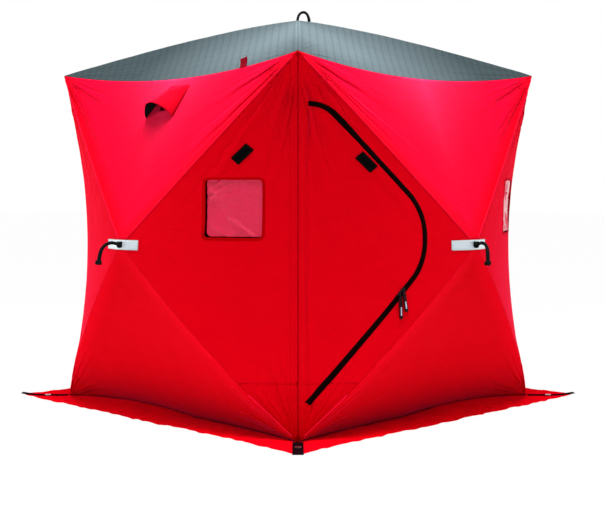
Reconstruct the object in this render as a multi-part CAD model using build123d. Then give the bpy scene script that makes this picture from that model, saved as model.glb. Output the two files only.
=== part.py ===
"""Pop-up fabric ice fishing hut: a square tent of five hub-tensioned faces on glass-fibre poles.

Millimetres, +Z up. The origin is on the ground under the middle of the roof, and the front wall, with the
door, faces -Y. The walls are drawn as the front wall and turned into place about Z.
"""
import os
from math import acos, atan2, cos, degrees, pi, radians, sin, tan

from build123d import *

# ---- the shell ----
BASE_HALF = 889.0        # middle of the hut to a wall's foot, at the corners
EAVE_FLARE = 10.0        # how much further out the eave's corners stand
EAVE_HEIGHT = 1750.0     # top corners above the ground
HUB_BULGE = 313.0        # how much further out than the foot a wall's four ridges aim
HUB_HEIGHT = 872.0
APEX_HEIGHT = 2049.0     # point where the roof's four ridges aim
FABRIC = 3.0             # coated shell with its lining
CORNER_SAG = 81.0        # how far a corner seam draws in at mid height, along each wall
EAVE_SAG = 70.0          # how far an eave seam drops between the corners
EAVE_DRAW = 30.0         # how far an eave seam draws in between the corners
HEM_DRAW = 60.0          # how far a wall's foot draws in between the corners
LOWER_BOW = 45.0         # how far the lower wall poles bow outwards
UPPER_BOW = 6.0          # how far the upper wall poles bow outwards
ROOF_BOW = 26.0          # how far the roof poles bow upwards
WALL_CREST = 0.5         # where a wall pole bows most, from its corner, as a share of its length
ROOF_CREST = 0.68        # the same for the roof poles
SIDE_SWELL = 28.0        # how far the middle of a wall's side facets swells outwards
HUB_FLAT = 62.0          # width of the flat where the fabric lies on a hub
SEWN_GAP = 0.1           # between a sewn-on piece and the fabric under it
SEAT_GAP = 0.3           # between a soft piece and the hard one that it rests on

# ---- the skirt on the ground ----
SKIRT_WIDTH = 186.0
SKIRT_THICK = 3.0

# ---- windows and door, as seen straight on ----
WINDOW_WIDTH = 246.0
WINDOW_TALL = 267.0
WINDOW_LEAN = 12.0       # how much nearer to the corner the window's head is than its foot
WINDOW_INSET = 329.0     # wall's corner to middle of the window
WINDOW_HEIGHT = 1048.0
WINDOW_CORNER = 14.0
WINDOW_LAP = 18.0        # how far the pane reaches behind the wall round its hole
PANE_THICK = 1.0
DOOR_DROP = 226.5        # eave to the door's head
DOOR_BOTTOM = 168.0
DOOR_HEAD_FLAT = 5.1     # level run of the door's head, before its bend
DOOR_WIDE = 611.5        # wall's corner to the door's far edge
NOSE_RISE = 41.4         # hub's level up to the middle of the door's nose
NOSE_FLAT = 21.7         # upright run of the nose, between its two bends
DOOR_STILE = 32.0        # strip of wall left between the corner seam and the door
DOOR_GAP = 5.0           # clear all round the door
HEAD_ROUND = 155.0       # radius of the door's head
NOSE_ROUND = 280.0       # radius of the nose's two bends
TAB_TALL = 22.0          # band at each end of the fold that joins the door to the wall
TAB_LAP = 6.0
FOOT_TAB_RISE = 20.0     # door's foot to the lower band
ZIP_WIDTH = 9.5          # each half of the zip tape
ZIP_THICK = 1.6
SLIDER_ALONG = 650.0     # the zip's foot to the pair of sliders
SLIDER_LENGTH = 20.0
SLIDER_WIDTH = 12.0
SLIDER_THICK = 10.0
PULL_LONG = 115.0
PULL_SHORT = 100.0
PULL_WIDTH = 12.0
PULL_THICK = 2.5

# ---- poles, hubs and corner fittings ----
POLE_RADIUS = 5.5
HUB_RADIUS = 36.0
HUB_THICK = 24.0
HUB_CHAMFER = 7.0
SLOT_WIDTH = 9.0
SLOT_FLOOR = 15.0        # hub centre to the bottom of a slot
TANG_GAP = 0.5
PIN_RADIUS = 2.5
PIN_REACH = 27.0         # hub centre to a pin
FERRULE_RADIUS = 8.5
FERRULE_START = 46.0     # hub centre to a ferrule's shoulder
FERRULE_END = 92.0       # hub centre to the mouth that the pole enters
JOINT_RADIUS = 15.0
SOCKET_RADIUS = 8.0
SOCKET_REACH = 55.0      # corner fitting's centre to a socket's mouth
FOOT_TALL = 34.0
FOOT_INSET = 21.0        # wall's corner to the middle of a pole's foot, along each axis
JOINT_SEAT = 1.6         # extra room between a top fitting and the fabric, along each axis
TOP_DROP = 19.0          # eave corner down to the middle of a top fitting

# ---- trim ----
STRIP_REACH = 125.0      # reflective strip, each way from the hub
STRIP_TALL = 48.0
TRIM_THICK = 1.0
PATCH_LONG = 96.0
PATCH_WIDE = 43.0
VENT_SIDE = 76.0         # middle of the wall to the middle of the vent's head
VENT_LEAN = 83.0         # how far the mouth's middle lies beside the head's
VENT_DROP = 105.0        # eave to the hood's sewn head
VENT_TALL = 158.0
VENT_HEAD = 150.0
VENT_MOUTH = 207.0
VENT_STAND = 56.0        # how far the hood stands out at the top of its mouth's arch
VENT_ARCH = 73.0         # how far the arch rises over the mouth's two feet
HOOD_SEAT = 0.8          # room under the hood's feet, over the curve of the wall
VENT_HOLE_WIDE = 120.0
VENT_HOLE_TALL = 80.0
LABEL_WIDE = 40.0
LABEL_LONG = 55.0
LABEL_SIDE = 500.0
STRAP_WIDE = 50.0
STRAP_THICK = 2.0
STRAP_START = 8.0        # wall's corner to the strap's end
STRAP_END = 12.0         # strap's other end to the skirt's tip
GROMMET_AT = 120.0       # wall's corner to the grommet
GROMMET_HOLE = 8.0
GROMMET_RIM = 16.0
GROMMET_LIP = 1.5
PATCH_DOWN = 517.0       # eave corner to a patch, along its ridge
PATCH_INSET = 128.0      # ridge to a patch's middle
DOOR_PATCH_DOWN = 583.0
DOOR_PATCH_INSET = 114.0
ROPE_RADIUS = 6.5
KNOT_RADIUS = 10.5       # the rope's knots, at its hub and at its end
LOOP_RADIUS = 6.5
ROOF_LOOP_OFFSET = 3.0
ROUNDING = 0.45          # share of a rope's shorter run that a bend may take

SIDES = {"front": 0, "right": 90, "back": 180, "left": -90}
EAVE_HALF = BASE_HALF + EAVE_FLARE
HUB_REACH = BASE_HALF + HUB_BULGE
DOOR_TOP = EAVE_HEIGHT - DOOR_DROP
DOOR_NOSE = BASE_HALF - DOOR_WIDE
VENT_TOP = EAVE_HEIGHT - VENT_DROP
VENT_BOTTOM = VENT_TOP - VENT_TALL
OUT = Vector(0, -1, 0)
UP = Vector(0, 0, 1)
FOOT_Z = SKIRT_THICK     # the walls stand on the skirt
parts = {}


def at(side, out, z):
    """A point of the front wall: sideways to the right, out from the middle of the hut, and up."""
    return Vector(side, -out, z)


def mid(a, b, share=0.5):
    return a + (b - a) * share


def turn(vector, angle):
    return Vector(vector.X, vector.Y, vector.Z).rotate(Axis.Z, angle)


def turned(shape, side):
    return Rot(0, 0, SIDES[side]) * shape


def keep(name, *solids):
    found = [one for shape in solids for one in shape.solids()]
    parts[name] = found[0] if len(found) == 1 else Compound(children=found)


# ---- surfaces ----

def sheet(net):
    return Face.make_bezier_surface([list(row) for row in net])


def closed(faces):
    body = Solid(Shell(faces))
    return body if body.volume > 0 else Solid(Shell([face for face in faces])).fix()


def slab(net, low, high, way=OUT):
    """A solid between two copies of a surface, moved low and high along a way."""
    under = [[point + way * low for point in row] for row in net]
    over = [[point + way * high for point in row] for row in net]
    rims = [(under[0], over[0]), (under[-1], over[-1])]
    rims += [([row[0] for row in under], [row[0] for row in over])]
    rims += [([row[-1] for row in under], [row[-1] for row in over])]
    return closed([sheet(under), sheet(over)] + [sheet(rim) for rim in rims])


def bent(corner, aim, bow, crest):
    """Middle control point of a curve that bows most at its crest."""
    return mid(corner, aim, crest) + bow * 2


def ridge(corner, aim, bow, crest):
    """Control points of a ridge, from its corner to the edge of the hub's flat."""
    left = HUB_FLAT / 2 ** 0.5 / (aim - corner).length      # share of the run that the flat takes
    rest = 1 - crest
    share = 1 - left / (rest + (rest ** 2 + (1 - 2 * rest) * left) ** 0.5)
    bend = bent(corner, aim, bow, crest)
    first = mid(corner, bend, share)
    return [corner, first, mid(first, mid(bend, aim, share), share)]


def facets(rim, aim, bows, swells, crest):
    """Control nets of the four facets inside a rim, each from its outer edge to the hub's flat."""
    ridges = [ridge(rim[2 * i], aim, bows[i], crest) for i in range(4)]
    nets = []
    for i in range(4):
        first, last = ridges[i], ridges[(i + 1) % 4]
        edge = rim[2 * i + 1]
        inner = mid(first[2], last[2])
        heart = mid(edge, inner) + mid(first[1], last[1]) - mid(mid(first[0], last[0]), mid(first[2], last[2]))
        heart = heart + swells[i] * 4
        nets.append([[first[0], edge, last[0]], [first[1], heart, last[1]], [first[2], inner, last[2]]])
    return nets


def flat(nets):
    """The small four-sided flat over the hub."""
    tips = [net[2][0] for net in nets]
    return [[tips[0], tips[1]], [tips[3], tips[2]]]


def skin(rim, rim_inside, aim, bows, swells, crest, inward):
    """A face of the tent: outer and inner surfaces, closed along the mitred rims."""
    outer = facets(rim, aim, bows, swells, crest)
    inner = facets(rim_inside, aim + inward, bows, swells, crest)
    sides = [sheet([outer[i][0], inner[i][0]]) for i in range(4)]
    surfaces = [sheet(net) for net in outer + inner + [flat(outer), flat(inner)]]
    return outer, inner, closed(surfaces + sides)


# ---- the front wall's rim, and the roof's ----

def wall_rim(thick=0.0):
    """Control points from the lower left corner anticlockwise, moved in by a mitred thickness."""
    base, eave = BASE_HALF - thick, EAVE_HALF - thick
    seam = (BASE_HALF + EAVE_HALF) / 2 - 2 * CORNER_SAG - thick
    level = (EAVE_HEIGHT + FOOT_Z) / 2
    return [
        at(-base, base, FOOT_Z),
        at(0, base - 2 * HEM_DRAW, FOOT_Z),
        at(base, base, FOOT_Z),
        at(seam, seam, level),
        at(eave, eave, EAVE_HEIGHT - thick),
        at(0, eave - 2 * EAVE_DRAW, EAVE_HEIGHT - 2 * EAVE_SAG - thick),
        at(-eave, eave, EAVE_HEIGHT - thick),
        at(-seam, seam, level),
    ]


def roof_rim(thick=0.0):
    points = []
    for side in ("front", "right", "back", "left"):
        points += [turn(point, SIDES[side]) for point in (wall_rim(thick)[6], wall_rim(thick)[5])]
    return points


WALL_AIM = at(0, HUB_REACH, HUB_HEIGHT)
ROOF_AIM = Vector(0, 0, APEX_HEIGHT)
BOTTOM, RIGHT, TOP, LEFT = range(4)
WALL_BOWS = [OUT * LOWER_BOW, OUT * LOWER_BOW, OUT * UPPER_BOW, OUT * UPPER_BOW]
WALL_SWELLS = [OUT * 0, OUT * SIDE_SWELL, OUT * 0, OUT * SIDE_SWELL]
ROOF_BOWS = [UP * ROOF_BOW] * 4
ROOF_SWELLS = [UP * 0] * 4
wall_out, wall_in, wall_solid = skin(
    wall_rim(), wall_rim(FABRIC), WALL_AIM, WALL_BOWS, WALL_SWELLS, WALL_CREST, OUT * -FABRIC)
roof_out, roof_in, roof_solid = skin(
    roof_rim(), roof_rim(FABRIC), ROOF_AIM, ROOF_BOWS, ROOF_SWELLS, ROOF_CREST, UP * -FABRIC)


def spot(net, across, down):
    """A point of a facet: across from its first ridge to its last, down from its edge to the hub."""
    a = [(1 - down) ** 2, 2 * down * (1 - down), down ** 2]
    b = [(1 - across) ** 2, 2 * across * (1 - across), across ** 2]
    point = Vector(0, 0, 0)
    for i in range(3):
        for j in range(3):
            point += net[i][j] * (a[i] * b[j])
    return point


def surface_out(net, side, z):
    """How far out a facet of the front wall lies at a place seen straight on."""
    across, down, step = 0.5, 0.5, 1e-4
    for _ in range(30):
        here = spot(net, across, down)
        by_across = (spot(net, across + step, down) - here) / step
        by_down = (spot(net, across, down + step) - here) / step
        miss_side, miss_z = side - here.X, z - here.Z
        scale = by_across.X * by_down.Z - by_across.Z * by_down.X
        across += (miss_side * by_down.Z - miss_z * by_down.X) / scale
        down += (miss_z * by_across.X - miss_side * by_across.Z) / scale
    return -spot(net, across, down).Y


def drill(outline, depth=HUB_REACH + VENT_STAND):
    """An outline drawn on the front wall's picture plane, run out through the wall."""
    return extrude(Plane.XZ * outline, amount=depth)


# ---- door and windows ----

def seam_side(z, inset):
    """Sideways place of the left corner seam at a height, moved inset into the wall."""
    low, bend, high = wall_rim()[0], wall_rim()[7], wall_rim()[6]
    share = (z - FOOT_Z) / (EAVE_HEIGHT - FOOT_Z)
    side = low.X * (1 - share) ** 2 + bend.X * 2 * share * (1 - share) + high.X * share ** 2
    return side + inset


def hinge_line(bottom, top, inset):
    """The curve beside the corner seam that the door folds along."""
    places = [(seam_side(z, inset), z) for z in (bottom, (top + bottom) / 2, top)]
    return ThreePointArc(*places)


def taut_line(rounds):
    """Straight runs and arcs drawn taut round circles (centre, radius) on their right-hand side."""
    def on(circle, angle):
        (side, z), radius = circle
        return (side + radius * cos(angle), z + radius * sin(angle))

    edges, arrive = [], None
    for first, last in zip(rounds, rounds[1:]):
        (x, z), (next_x, next_z) = first[0], last[0]
        apart = ((next_x - x) ** 2 + (next_z - z) ** 2) ** 0.5
        leave = atan2(next_z - z, next_x - x) - acos((first[1] - last[1]) / apart)
        if arrive is not None and first[1] > 0:
            middle = arrive + ((leave - arrive) % (2 * pi)) / 2
            edges.append(ThreePointArc(on(first, arrive), on(first, middle), on(first, leave)))
        edges.append(Line(on(first, leave), on(last, leave)))
        arrive = leave
    return edges


def nose_centre(sign):
    """Centre of the nose's upper or lower bend."""
    return (-DOOR_NOSE - NOSE_ROUND, HUB_HEIGHT + NOSE_RISE + sign * NOSE_FLAT / 2)


def free_edge():
    """The door's free edge, from the fold's foot round the nose to the fold's head."""
    foot, head = seam_side(DOOR_BOTTOM, DOOR_STILE), seam_side(DOOR_TOP, DOOR_STILE)
    crown = (head + DOOR_HEAD_FLAT, DOOR_TOP - HEAD_ROUND)
    return taut_line([((foot, DOOR_BOTTOM), 0), (nose_centre(-1), NOSE_ROUND), (nose_centre(1), NOSE_ROUND),
                      (crown, HEAD_ROUND), ((head, DOOR_TOP), 0)])


def door_outline(shrink=0.0):
    """The door's D: along the corner seam, then a blunt nose towards the hub."""
    face = make_face([hinge_line(DOOR_BOTTOM, DOOR_TOP, DOOR_STILE), *free_edge()])
    return offset(face, amount=-shrink) if shrink else face


def zip_band(low, high):
    """One half of the zip, on the door's free edges only."""
    margin = 2 * ZIP_WIDTH + DOOR_GAP
    near = hinge_line(DOOR_BOTTOM - margin, DOOR_TOP + margin, DOOR_STILE + margin)
    far = hinge_line(DOOR_BOTTOM - margin, DOOR_TOP + margin, -DOOR_STILE)
    cut = make_face(near + far + Line(near @ 0, far @ 0) + Line(near @ 1, far @ 1))
    return door_outline(low) - door_outline(high) - cut


def window_outline(grow):
    """The window's leaning four-sided outline, grown all round."""
    side, lean = BASE_HALF - WINDOW_INSET, WINDOW_LEAN / 2
    half, rise = WINDOW_WIDTH / 2, WINDOW_TALL / 2
    tips = [(-half - lean, -rise), (half - lean, -rise), (half + lean, rise), (-half + lean, rise)]
    pane = fillet(Polygon(*tips, align=None).vertices(), WINDOW_CORNER)
    return Pos(side, WINDOW_HEIGHT) * (offset(pane, amount=grow) if grow else pane)


def vent_hole():
    middle = (VENT_TOP + VENT_BOTTOM) / 2
    return Pos(VENT_SIDE - VENT_LEAN / 2, middle) * RectangleRounded(VENT_HOLE_WIDE, VENT_HOLE_TALL, WINDOW_CORNER)


def build_walls():
    window = drill(window_outline(0))
    plain = wall_solid - window
    keep("front_wall", turned(plain - drill(door_outline(0)), "front"))
    keep("back_wall", turned(plain, "back"))
    for side in ("left", "right"):
        keep(side + "_wall", turned(plain - drill(vent_hole()), side))
    keep("roof", roof_solid)
    pane = slab(wall_in[RIGHT], -SEWN_GAP - PANE_THICK, -SEWN_GAP) & drill(window_outline(WINDOW_LAP))
    for side in SIDES:
        keep(side + "_window", turned(pane, side))


def hinge_tab(bottom):
    """A short band at an end of the fold, where the door stays joined to the wall."""
    top = bottom + TAB_TALL
    near = hinge_line(bottom, top, DOOR_STILE + SEAT_GAP)
    far = hinge_line(bottom, top, DOOR_STILE + DOOR_GAP + TAB_LAP)
    return make_face(near + far + Line(near @ 0, far @ 0) + Line(near @ 1, far @ 1))


def build_door():
    low, high = DOOR_BOTTOM + FOOT_TAB_RISE, DOOR_TOP - DOOR_GAP - TAB_TALL
    outline = door_outline(DOOR_GAP) + hinge_tab(low) + hinge_tab(high)
    keep("door_panel", slab(wall_out[LEFT], -FABRIC, 0) & drill(outline))
    tape = slab(wall_out[LEFT], SEWN_GAP, SEWN_GAP + ZIP_THICK)
    keep("door_zip", tape & drill(zip_band(DOOR_GAP, DOOR_GAP + ZIP_WIDTH)))
    keep("wall_zip", tape & drill(zip_band(-ZIP_WIDTH, 0)))


# ---- the skirt, its straps and grommets ----

def on_corner(reach, z=0.0):
    """A point on the front left diagonal, at a distance outwards from the wall's corner."""
    half = BASE_HALF + reach / 2 ** 0.5
    return Vector(-half, -half, z)


def build_skirt():
    tip = BASE_HALF + SKIRT_WIDTH
    foot = wall_rim(FABRIC)
    inner = Edge.make_bezier(*[Vector(p.X, p.Y, 0) for p in foot[:3]])
    ends = [at(tip, tip, 0), at(-tip, tip, 0)]
    rest = Edge.make_line(inner @ 1, ends[0]), Edge.make_line(ends[0], ends[1]), Edge.make_line(ends[1], inner @ 0)
    apron = extrude(Face(Wire([inner, *rest])), amount=SKIRT_THICK, dir=(0, 0, 1))
    eyes = [Pos(p.X, p.Y, 0) * Cylinder(GROMMET_HOLE, 4 * SKIRT_THICK) for p in grommet_spots()]
    apron = apron - eyes[0] - eyes[1]
    for side in SIDES:
        keep(side + "_skirt", turned(apron, side))


def grommet_spots():
    left = on_corner(GROMMET_AT)
    return [left, Vector(-left.X, left.Y, 0)]


def build_corner_trim():
    tip_reach = SKIRT_WIDTH * 2 ** 0.5
    length = tip_reach - STRAP_START - STRAP_END
    middle = on_corner(STRAP_START + length / 2, SKIRT_THICK)
    eye = on_corner(GROMMET_AT)
    strap = Pos(middle.X, middle.Y, middle.Z + STRAP_THICK / 2) * Rot(0, 0, 45) * Box(length, STRAP_WIDE, STRAP_THICK)
    strap = strap - Pos(eye.X, eye.Y, 0) * Cylinder(GROMMET_HOLE, 8 * SKIRT_THICK)
    top = SKIRT_THICK + STRAP_THICK
    rim = Pos(eye.X, eye.Y, top + GROMMET_LIP / 2) * Cylinder(GROMMET_RIM, GROMMET_LIP)
    neck = Pos(eye.X, eye.Y, top / 2) * Cylinder(GROMMET_HOLE, top)
    ring = rim + neck - Pos(eye.X, eye.Y, 0) * Cylinder(GROMMET_HOLE - GROMMET_LIP, 8 * SKIRT_THICK)
    keep("corner_straps", *[turned(strap, side) for side in SIDES])
    keep("grommets", *[turned(ring, side) for side in SIDES])


# ---- the frame: hubs, poles and corner fittings ----

def hub_drop():
    """Hub flat to the middle of the hub."""
    return FABRIC + SEAT_GAP + HUB_THICK / 2


def flat_middle():
    """Middle of the fabric's flat over the front wall's hub."""
    first, last = flat(wall_out)
    return mid(mid(*first), mid(*last))


def wall_hub_middle():
    """The hub lies under the flat's innermost corner, because the flat leans a little."""
    innermost = max(tip.Y for row in flat(wall_out) for tip in row)
    return Vector(0, innermost + hub_drop(), flat_middle().Z)


def roof_hub_middle():
    tips = flat(roof_out)
    return mid(tips[0][0], tips[1][1]) - UP * hub_drop()


def joint_inset():
    """Corner of the fabric to the middle of a corner fitting, along each axis."""
    return FABRIC + JOINT_RADIUS + JOINT_SEAT


def foot_middle(sign):
    inset = BASE_HALF - FOOT_INSET
    return at(sign * inset, inset, FOOT_TALL)


def top_middle(sign):
    inset = EAVE_HALF - joint_inset()
    return at(sign * inset, inset, EAVE_HEIGHT - TOP_DROP)


def pole_path(hub, fitting, bow, crest):
    return [hub, bent(fitting, hub, bow, crest), fitting]


def along(path, share):
    return mid(mid(path[0], path[1], share), mid(path[1], path[2], share), share)


def share_at(path, reach, end=False):
    """Share of a path that lies a straight distance from one of its ends."""
    low, high = 0.0, 0.5
    anchor = path[2] if end else path[0]
    for _ in range(40):
        share = (low + high) / 2
        far = (along(path, 1 - share if end else share) - anchor).length
        low, high = (share, high) if far < reach else (low, share)
    return 1 - share if end else share


def rod(start, stop, radius):
    line = stop - start
    return extrude(Plane(start, z_dir=line.normalized()) * Circle(radius), amount=line.length)


def pole(path):
    """A bowed pole between the mouths of its hub ferrule and its corner socket."""
    first, last = share_at(path, FERRULE_END), share_at(path, SOCKET_REACH, True)
    start, stop = along(path, first), along(path, last)
    bend = mid(mid(path[0], path[1], first), mid(path[1], path[2], first), last)
    arc = Edge.make_bezier(start, bend, stop)
    section = Plane(start, z_dir=arc % 0) * Circle(POLE_RADIUS)
    return sweep(section, path=arc), arc


def hub(middle, out, arcs):
    """A hub: a slotted disc, and in each slot a pinned tang that carries a pole's ferrule."""
    plane = Plane(middle - out * (HUB_THICK / 2), z_dir=out)
    disc = extrude(plane * Circle(HUB_RADIUS), amount=HUB_THICK)
    disc = chamfer(disc.edges().filter_by(GeomType.CIRCLE), HUB_CHAMFER)
    sockets = []
    for arc in arcs:
        mouth = arc @ 0
        way = (arc % 0) * -1
        shoulder = mouth + way * (FERRULE_END - FERRULE_START)
        side = out.cross(way).normalized()
        sweep_way = (way - out * way.dot(out)).normalized() * -1
        slot = Plane(middle + sweep_way * SLOT_FLOOR, x_dir=sweep_way, z_dir=out)
        reach = HUB_RADIUS + 2 * HUB_CHAMFER - SLOT_FLOOR
        gap = extrude(slot * Pos(reach / 2, 0) * Rectangle(reach, SLOT_WIDTH), amount=HUB_THICK, both=True)
        disc = disc - gap
        pin = middle + sweep_way * PIN_REACH
        sockets.append(rod(pin - side * SLOT_WIDTH, pin + side * SLOT_WIDTH, PIN_RADIUS))
        heel = middle + sweep_way * (SLOT_FLOOR + TANG_GAP)
        tang = Plane(heel, x_dir=side, z_dir=(shoulder - heel).normalized())
        wide, tall = SLOT_WIDTH - 2 * TANG_GAP, 2 * PIN_REACH / 3.6
        sockets.append(extrude(tang * Rectangle(wide, tall), amount=(shoulder - heel).length + FERRULE_RADIUS))
        sockets.append(rod(shoulder, mouth, FERRULE_RADIUS))
    for piece in sockets:
        disc = disc + piece
    return disc


def fitting(middle, arcs):
    """A corner fitting: a ball with a socket for each pole that ends in it."""
    body = Pos(*middle) * Sphere(JOINT_RADIUS)
    for arc in arcs:
        mouth = arc @ 1
        body = body + rod(mouth, mouth + (arc % 1) * SOCKET_REACH, SOCKET_RADIUS)
    return body


def build_frame():
    middle = wall_hub_middle()
    corners = [foot_middle(-1), foot_middle(1), top_middle(1), top_middle(-1)]
    paths = [pole_path(middle, corner, bow, WALL_CREST) for corner, bow in zip(corners, WALL_BOWS)]
    wall_poles, wall_arcs = zip(*[pole(path) for path in paths])
    crown = roof_hub_middle()
    tops = [turn(top_middle(-1), angle) for angle in SIDES.values()]
    paths = [pole_path(crown, corner, bow, ROOF_CREST) for corner, bow in zip(tops, ROOF_BOWS)]
    roof_poles, roof_arcs = zip(*[pole(path) for path in paths])
    wall_hub = hub(middle, OUT, wall_arcs)
    for side in SIDES:
        keep(side + "_hub", turned(wall_hub, side))
        keep(side + "_poles", *[turned(one, side) for one in wall_poles])
    keep("roof_hub", hub(crown, UP, roof_arcs))
    keep("roof_poles", *roof_poles)
    feet, tops = [], []
    low, high = foot_middle(-1), top_middle(-1)
    neighbour = SIDES["left"]
    foot = fitting(low, [wall_arcs[0], wall_arcs[1].rotate(Axis.Z, neighbour)])
    foot = foot + extrude(Plane(Vector(low.X, low.Y, 0)) * Circle(JOINT_RADIUS), amount=low.Z)
    top = fitting(high, [wall_arcs[3], wall_arcs[2].rotate(Axis.Z, neighbour), roof_arcs[0]])
    keep("pole_feet", *[turned(foot, side) for side in SIDES])
    keep("top_joints", *[turned(top, side) for side in SIDES])


# ---- trim sewn to the fabric ----

def ridge_patch(facet, down, inset):
    """A patch beside an upper ridge, on the facet that the corner seam bounds."""
    sign = 1 if facet == RIGHT else -1
    run = Vector(-EAVE_HALF, HUB_HEIGHT - EAVE_HEIGHT).normalized()
    place = Vector(EAVE_HALF, EAVE_HEIGHT) + run * down + Vector(-run.Y, run.X) * inset
    angle = degrees(atan2(run.Y, run.X))
    outline = Pos(sign * place.X, place.Y) * Rot(0, 0, sign * angle) * Rectangle(PATCH_LONG, PATCH_WIDE)
    return slab(wall_out[facet], SEWN_GAP, SEWN_GAP + TRIM_THICK) & drill(outline)


def build_trim():
    band = Pos(0, HUB_HEIGHT) * Rectangle(2 * STRIP_REACH, STRIP_TALL)
    pieces = []
    for facet in (LEFT, RIGHT):
        pieces.append(slab(wall_out[facet], SEWN_GAP, SEWN_GAP + TRIM_THICK) & drill(band))
    pieces.append(slab(flat(wall_out), SEWN_GAP, SEWN_GAP + TRIM_THICK) & drill(band))
    strip = pieces[0] + pieces[1] + pieces[2]
    keep("reflective_strips", *[turned(strip, side) for side in SIDES])
    on_right = ridge_patch(RIGHT, PATCH_DOWN, PATCH_INSET)
    on_left = ridge_patch(LEFT, DOOR_PATCH_DOWN, DOOR_PATCH_INSET)
    keep("ridge_patches", turned(on_right, "left"), turned(on_right, "right"), turned(on_left, "back"))
    keep("door_patch", turned(on_left, "front"))
    label = Pos(-EAVE_HALF, -LABEL_SIDE) * Rectangle(2 * LABEL_LONG, LABEL_WIDE)
    tab = slab(roof_out[3], SEWN_GAP, SEWN_GAP + TRIM_THICK, UP)
    keep("roof_tab", tab & extrude(Plane.XY * label, amount=APEX_HEIGHT))


def hood_net(thick):
    """The vent's hood, from its sewn head down to the arch of its mouth."""
    def on_wall(side, z, raised):
        return at(side, surface_out(wall_out[TOP], side, z) + HOOD_SEAT + raised, z)
    head, mouth = VENT_HEAD / 2 - thick, VENT_MOUTH / 2 - thick
    top, bottom = VENT_TOP - thick, VENT_BOTTOM
    def row(side, half, z, stand, rise):
        left, right = on_wall(side - half, z, 0), on_wall(side + half, z, 0)
        return [left, mid(left, right) + (OUT * stand + UP * rise) * 2, right]
    first = row(VENT_SIDE, head, top, 0, 0)
    last = row(VENT_SIDE - VENT_LEAN, mouth, bottom, VENT_STAND - thick, VENT_ARCH)
    return [first, [mid(a, b) for a, b in zip(first, last)], last]


def build_vents():
    outer, inner = hood_net(0), hood_net(FABRIC)
    pairs = [([a for a in outer[0]], [b for b in inner[0]]), (outer[2], inner[2])]
    pairs += [([row[0] for row in outer], [row[0] for row in inner])]
    pairs += [([row[2] for row in outer], [row[2] for row in inner])]
    hood = closed([sheet(outer), sheet(inner)] + [sheet([a, b]) for a, b in pairs])
    keep("left_vent", turned(hood, "left"))
    keep("right_vent", turned(hood, "right"))


# ---- pull ropes ----

WALL_ROPE = [(0, 0), (34, 0), (66, -6), (90, -25), (102, -54), (106, -86)]      # out and up from the exit
ROOF_LOOP = [(0, 0), (2, 34), (34, 54), (60, 32), (64, -1)]                      # across and up from the exit


def rope(points, radius):
    """A rope through its route's points, each corner rounded as much as its runs allow."""
    radii = []
    for before, here, after in zip(points, points[1:], points[2:]):
        bend = radians((here - before).get_angle(after - here))
        radii.append(ROUNDING * min((here - before).length, (after - here).length) / tan(bend / 2))
    line = FilletPolyline(*points, radius=radii)
    start = (points[1] - points[0]).normalized()
    return sweep(Plane(points[0], z_dir=start) * Circle(radius), path=line)


def build_ropes():
    level = -flat_middle().Y + SEWN_GAP + TRIM_THICK + 3 * SEAT_GAP
    route = [at(0, level + out, HUB_HEIGHT + rise) for out, rise in WALL_ROPE]
    tail = rope(route, ROPE_RADIUS)
    for middle in (route[0] + OUT * (KNOT_RADIUS + SEAT_GAP), route[-1]):
        tail = tail + Pos(*middle) * Sphere(KNOT_RADIUS)
    for side in SIDES:
        keep(side + "_pull_rope", turned(tail, side))
    crest = roof_hub_middle().Z + hub_drop() + 3 * SEAT_GAP
    across = Vector(1, -1, 0).normalized()
    route = [across * (side - ROOF_LOOP_OFFSET) + UP * (crest + rise) for side, rise in ROOF_LOOP]
    keep("roof_pull_rope", rope(route, LOOP_RADIUS))


def lying(net, side, z, run, lift):
    """A plane that lies on a facet at a place, its x along a run, lifted off the fabric."""
    step = 1.0
    level = surface_out(net, side, z)
    by_side = (surface_out(net, side + step, z) - level) / step
    by_z = (surface_out(net, side, z + step) - level) / step
    normal = at(-by_side, 1, -by_z).normalized()
    along_run = at(run.X, run.X * by_side + run.Y * by_z, run.Y)
    return Plane(at(side, level, z) + normal * lift, x_dir=along_run, z_dir=normal)


def build_sliders():
    """Two zip sliders side by side on the door's tape, each with a pull that hangs from it."""
    lower = free_edge()[0]
    foot, run = lower @ 0, lower % 0
    inwards = Vector(-run.Y, run.X)
    lift = SEWN_GAP + ZIP_THICK + SEAT_GAP
    clear = DOOR_GAP + lift + PULL_THICK / 2
    sliders = []
    for step, drop in ((-1, PULL_LONG), (1, PULL_SHORT)):
        place = foot + run * (SLIDER_ALONG + step * SLIDER_LENGTH * 0.6) + inwards * (DOOR_GAP + ZIP_WIDTH / 2)
        seat = lying(wall_out[LEFT], place.X, place.Y, run, lift)
        body = extrude(seat * Rectangle(SLIDER_LENGTH, SLIDER_WIDTH), amount=SLIDER_THICK)
        top = at(place.X, surface_out(wall_out[LEFT], place.X, place.Y) + clear, place.Y)
        low = place.Y - drop
        end = at(place.X, surface_out(wall_out[LEFT], place.X, low) + clear, low)
        pull = Plane(top, x_dir=(1, 0, 0), z_dir=(end - top).normalized())
        sliders.append(body + extrude(pull * Rectangle(PULL_WIDTH, PULL_THICK), amount=(end - top).length))
    keep("zip_sliders", *sliders)


def build():
    build_walls()
    build_door()
    build_skirt()
    build_corner_trim()
    build_frame()
    build_trim()
    build_vents()
    build_ropes()
    build_sliders()


if __name__ == "__main__":
    build()
    os.makedirs("parts", exist_ok=True)
    for name, shape in parts.items():
        export_step(shape, "parts/" + name + ".step")
        print(name, len(shape.solids()), round(shape.volume / 1e3, 1))
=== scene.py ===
"""Looks for the pop-up ice fishing hut, in metres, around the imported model.

Every fabric face is drawn again over the frame's own surface, finer than the model's and with its folds.
A face's places are (across, up) in its own plane, and its height is how far it stands out of that plane.
"""
import math

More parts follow.
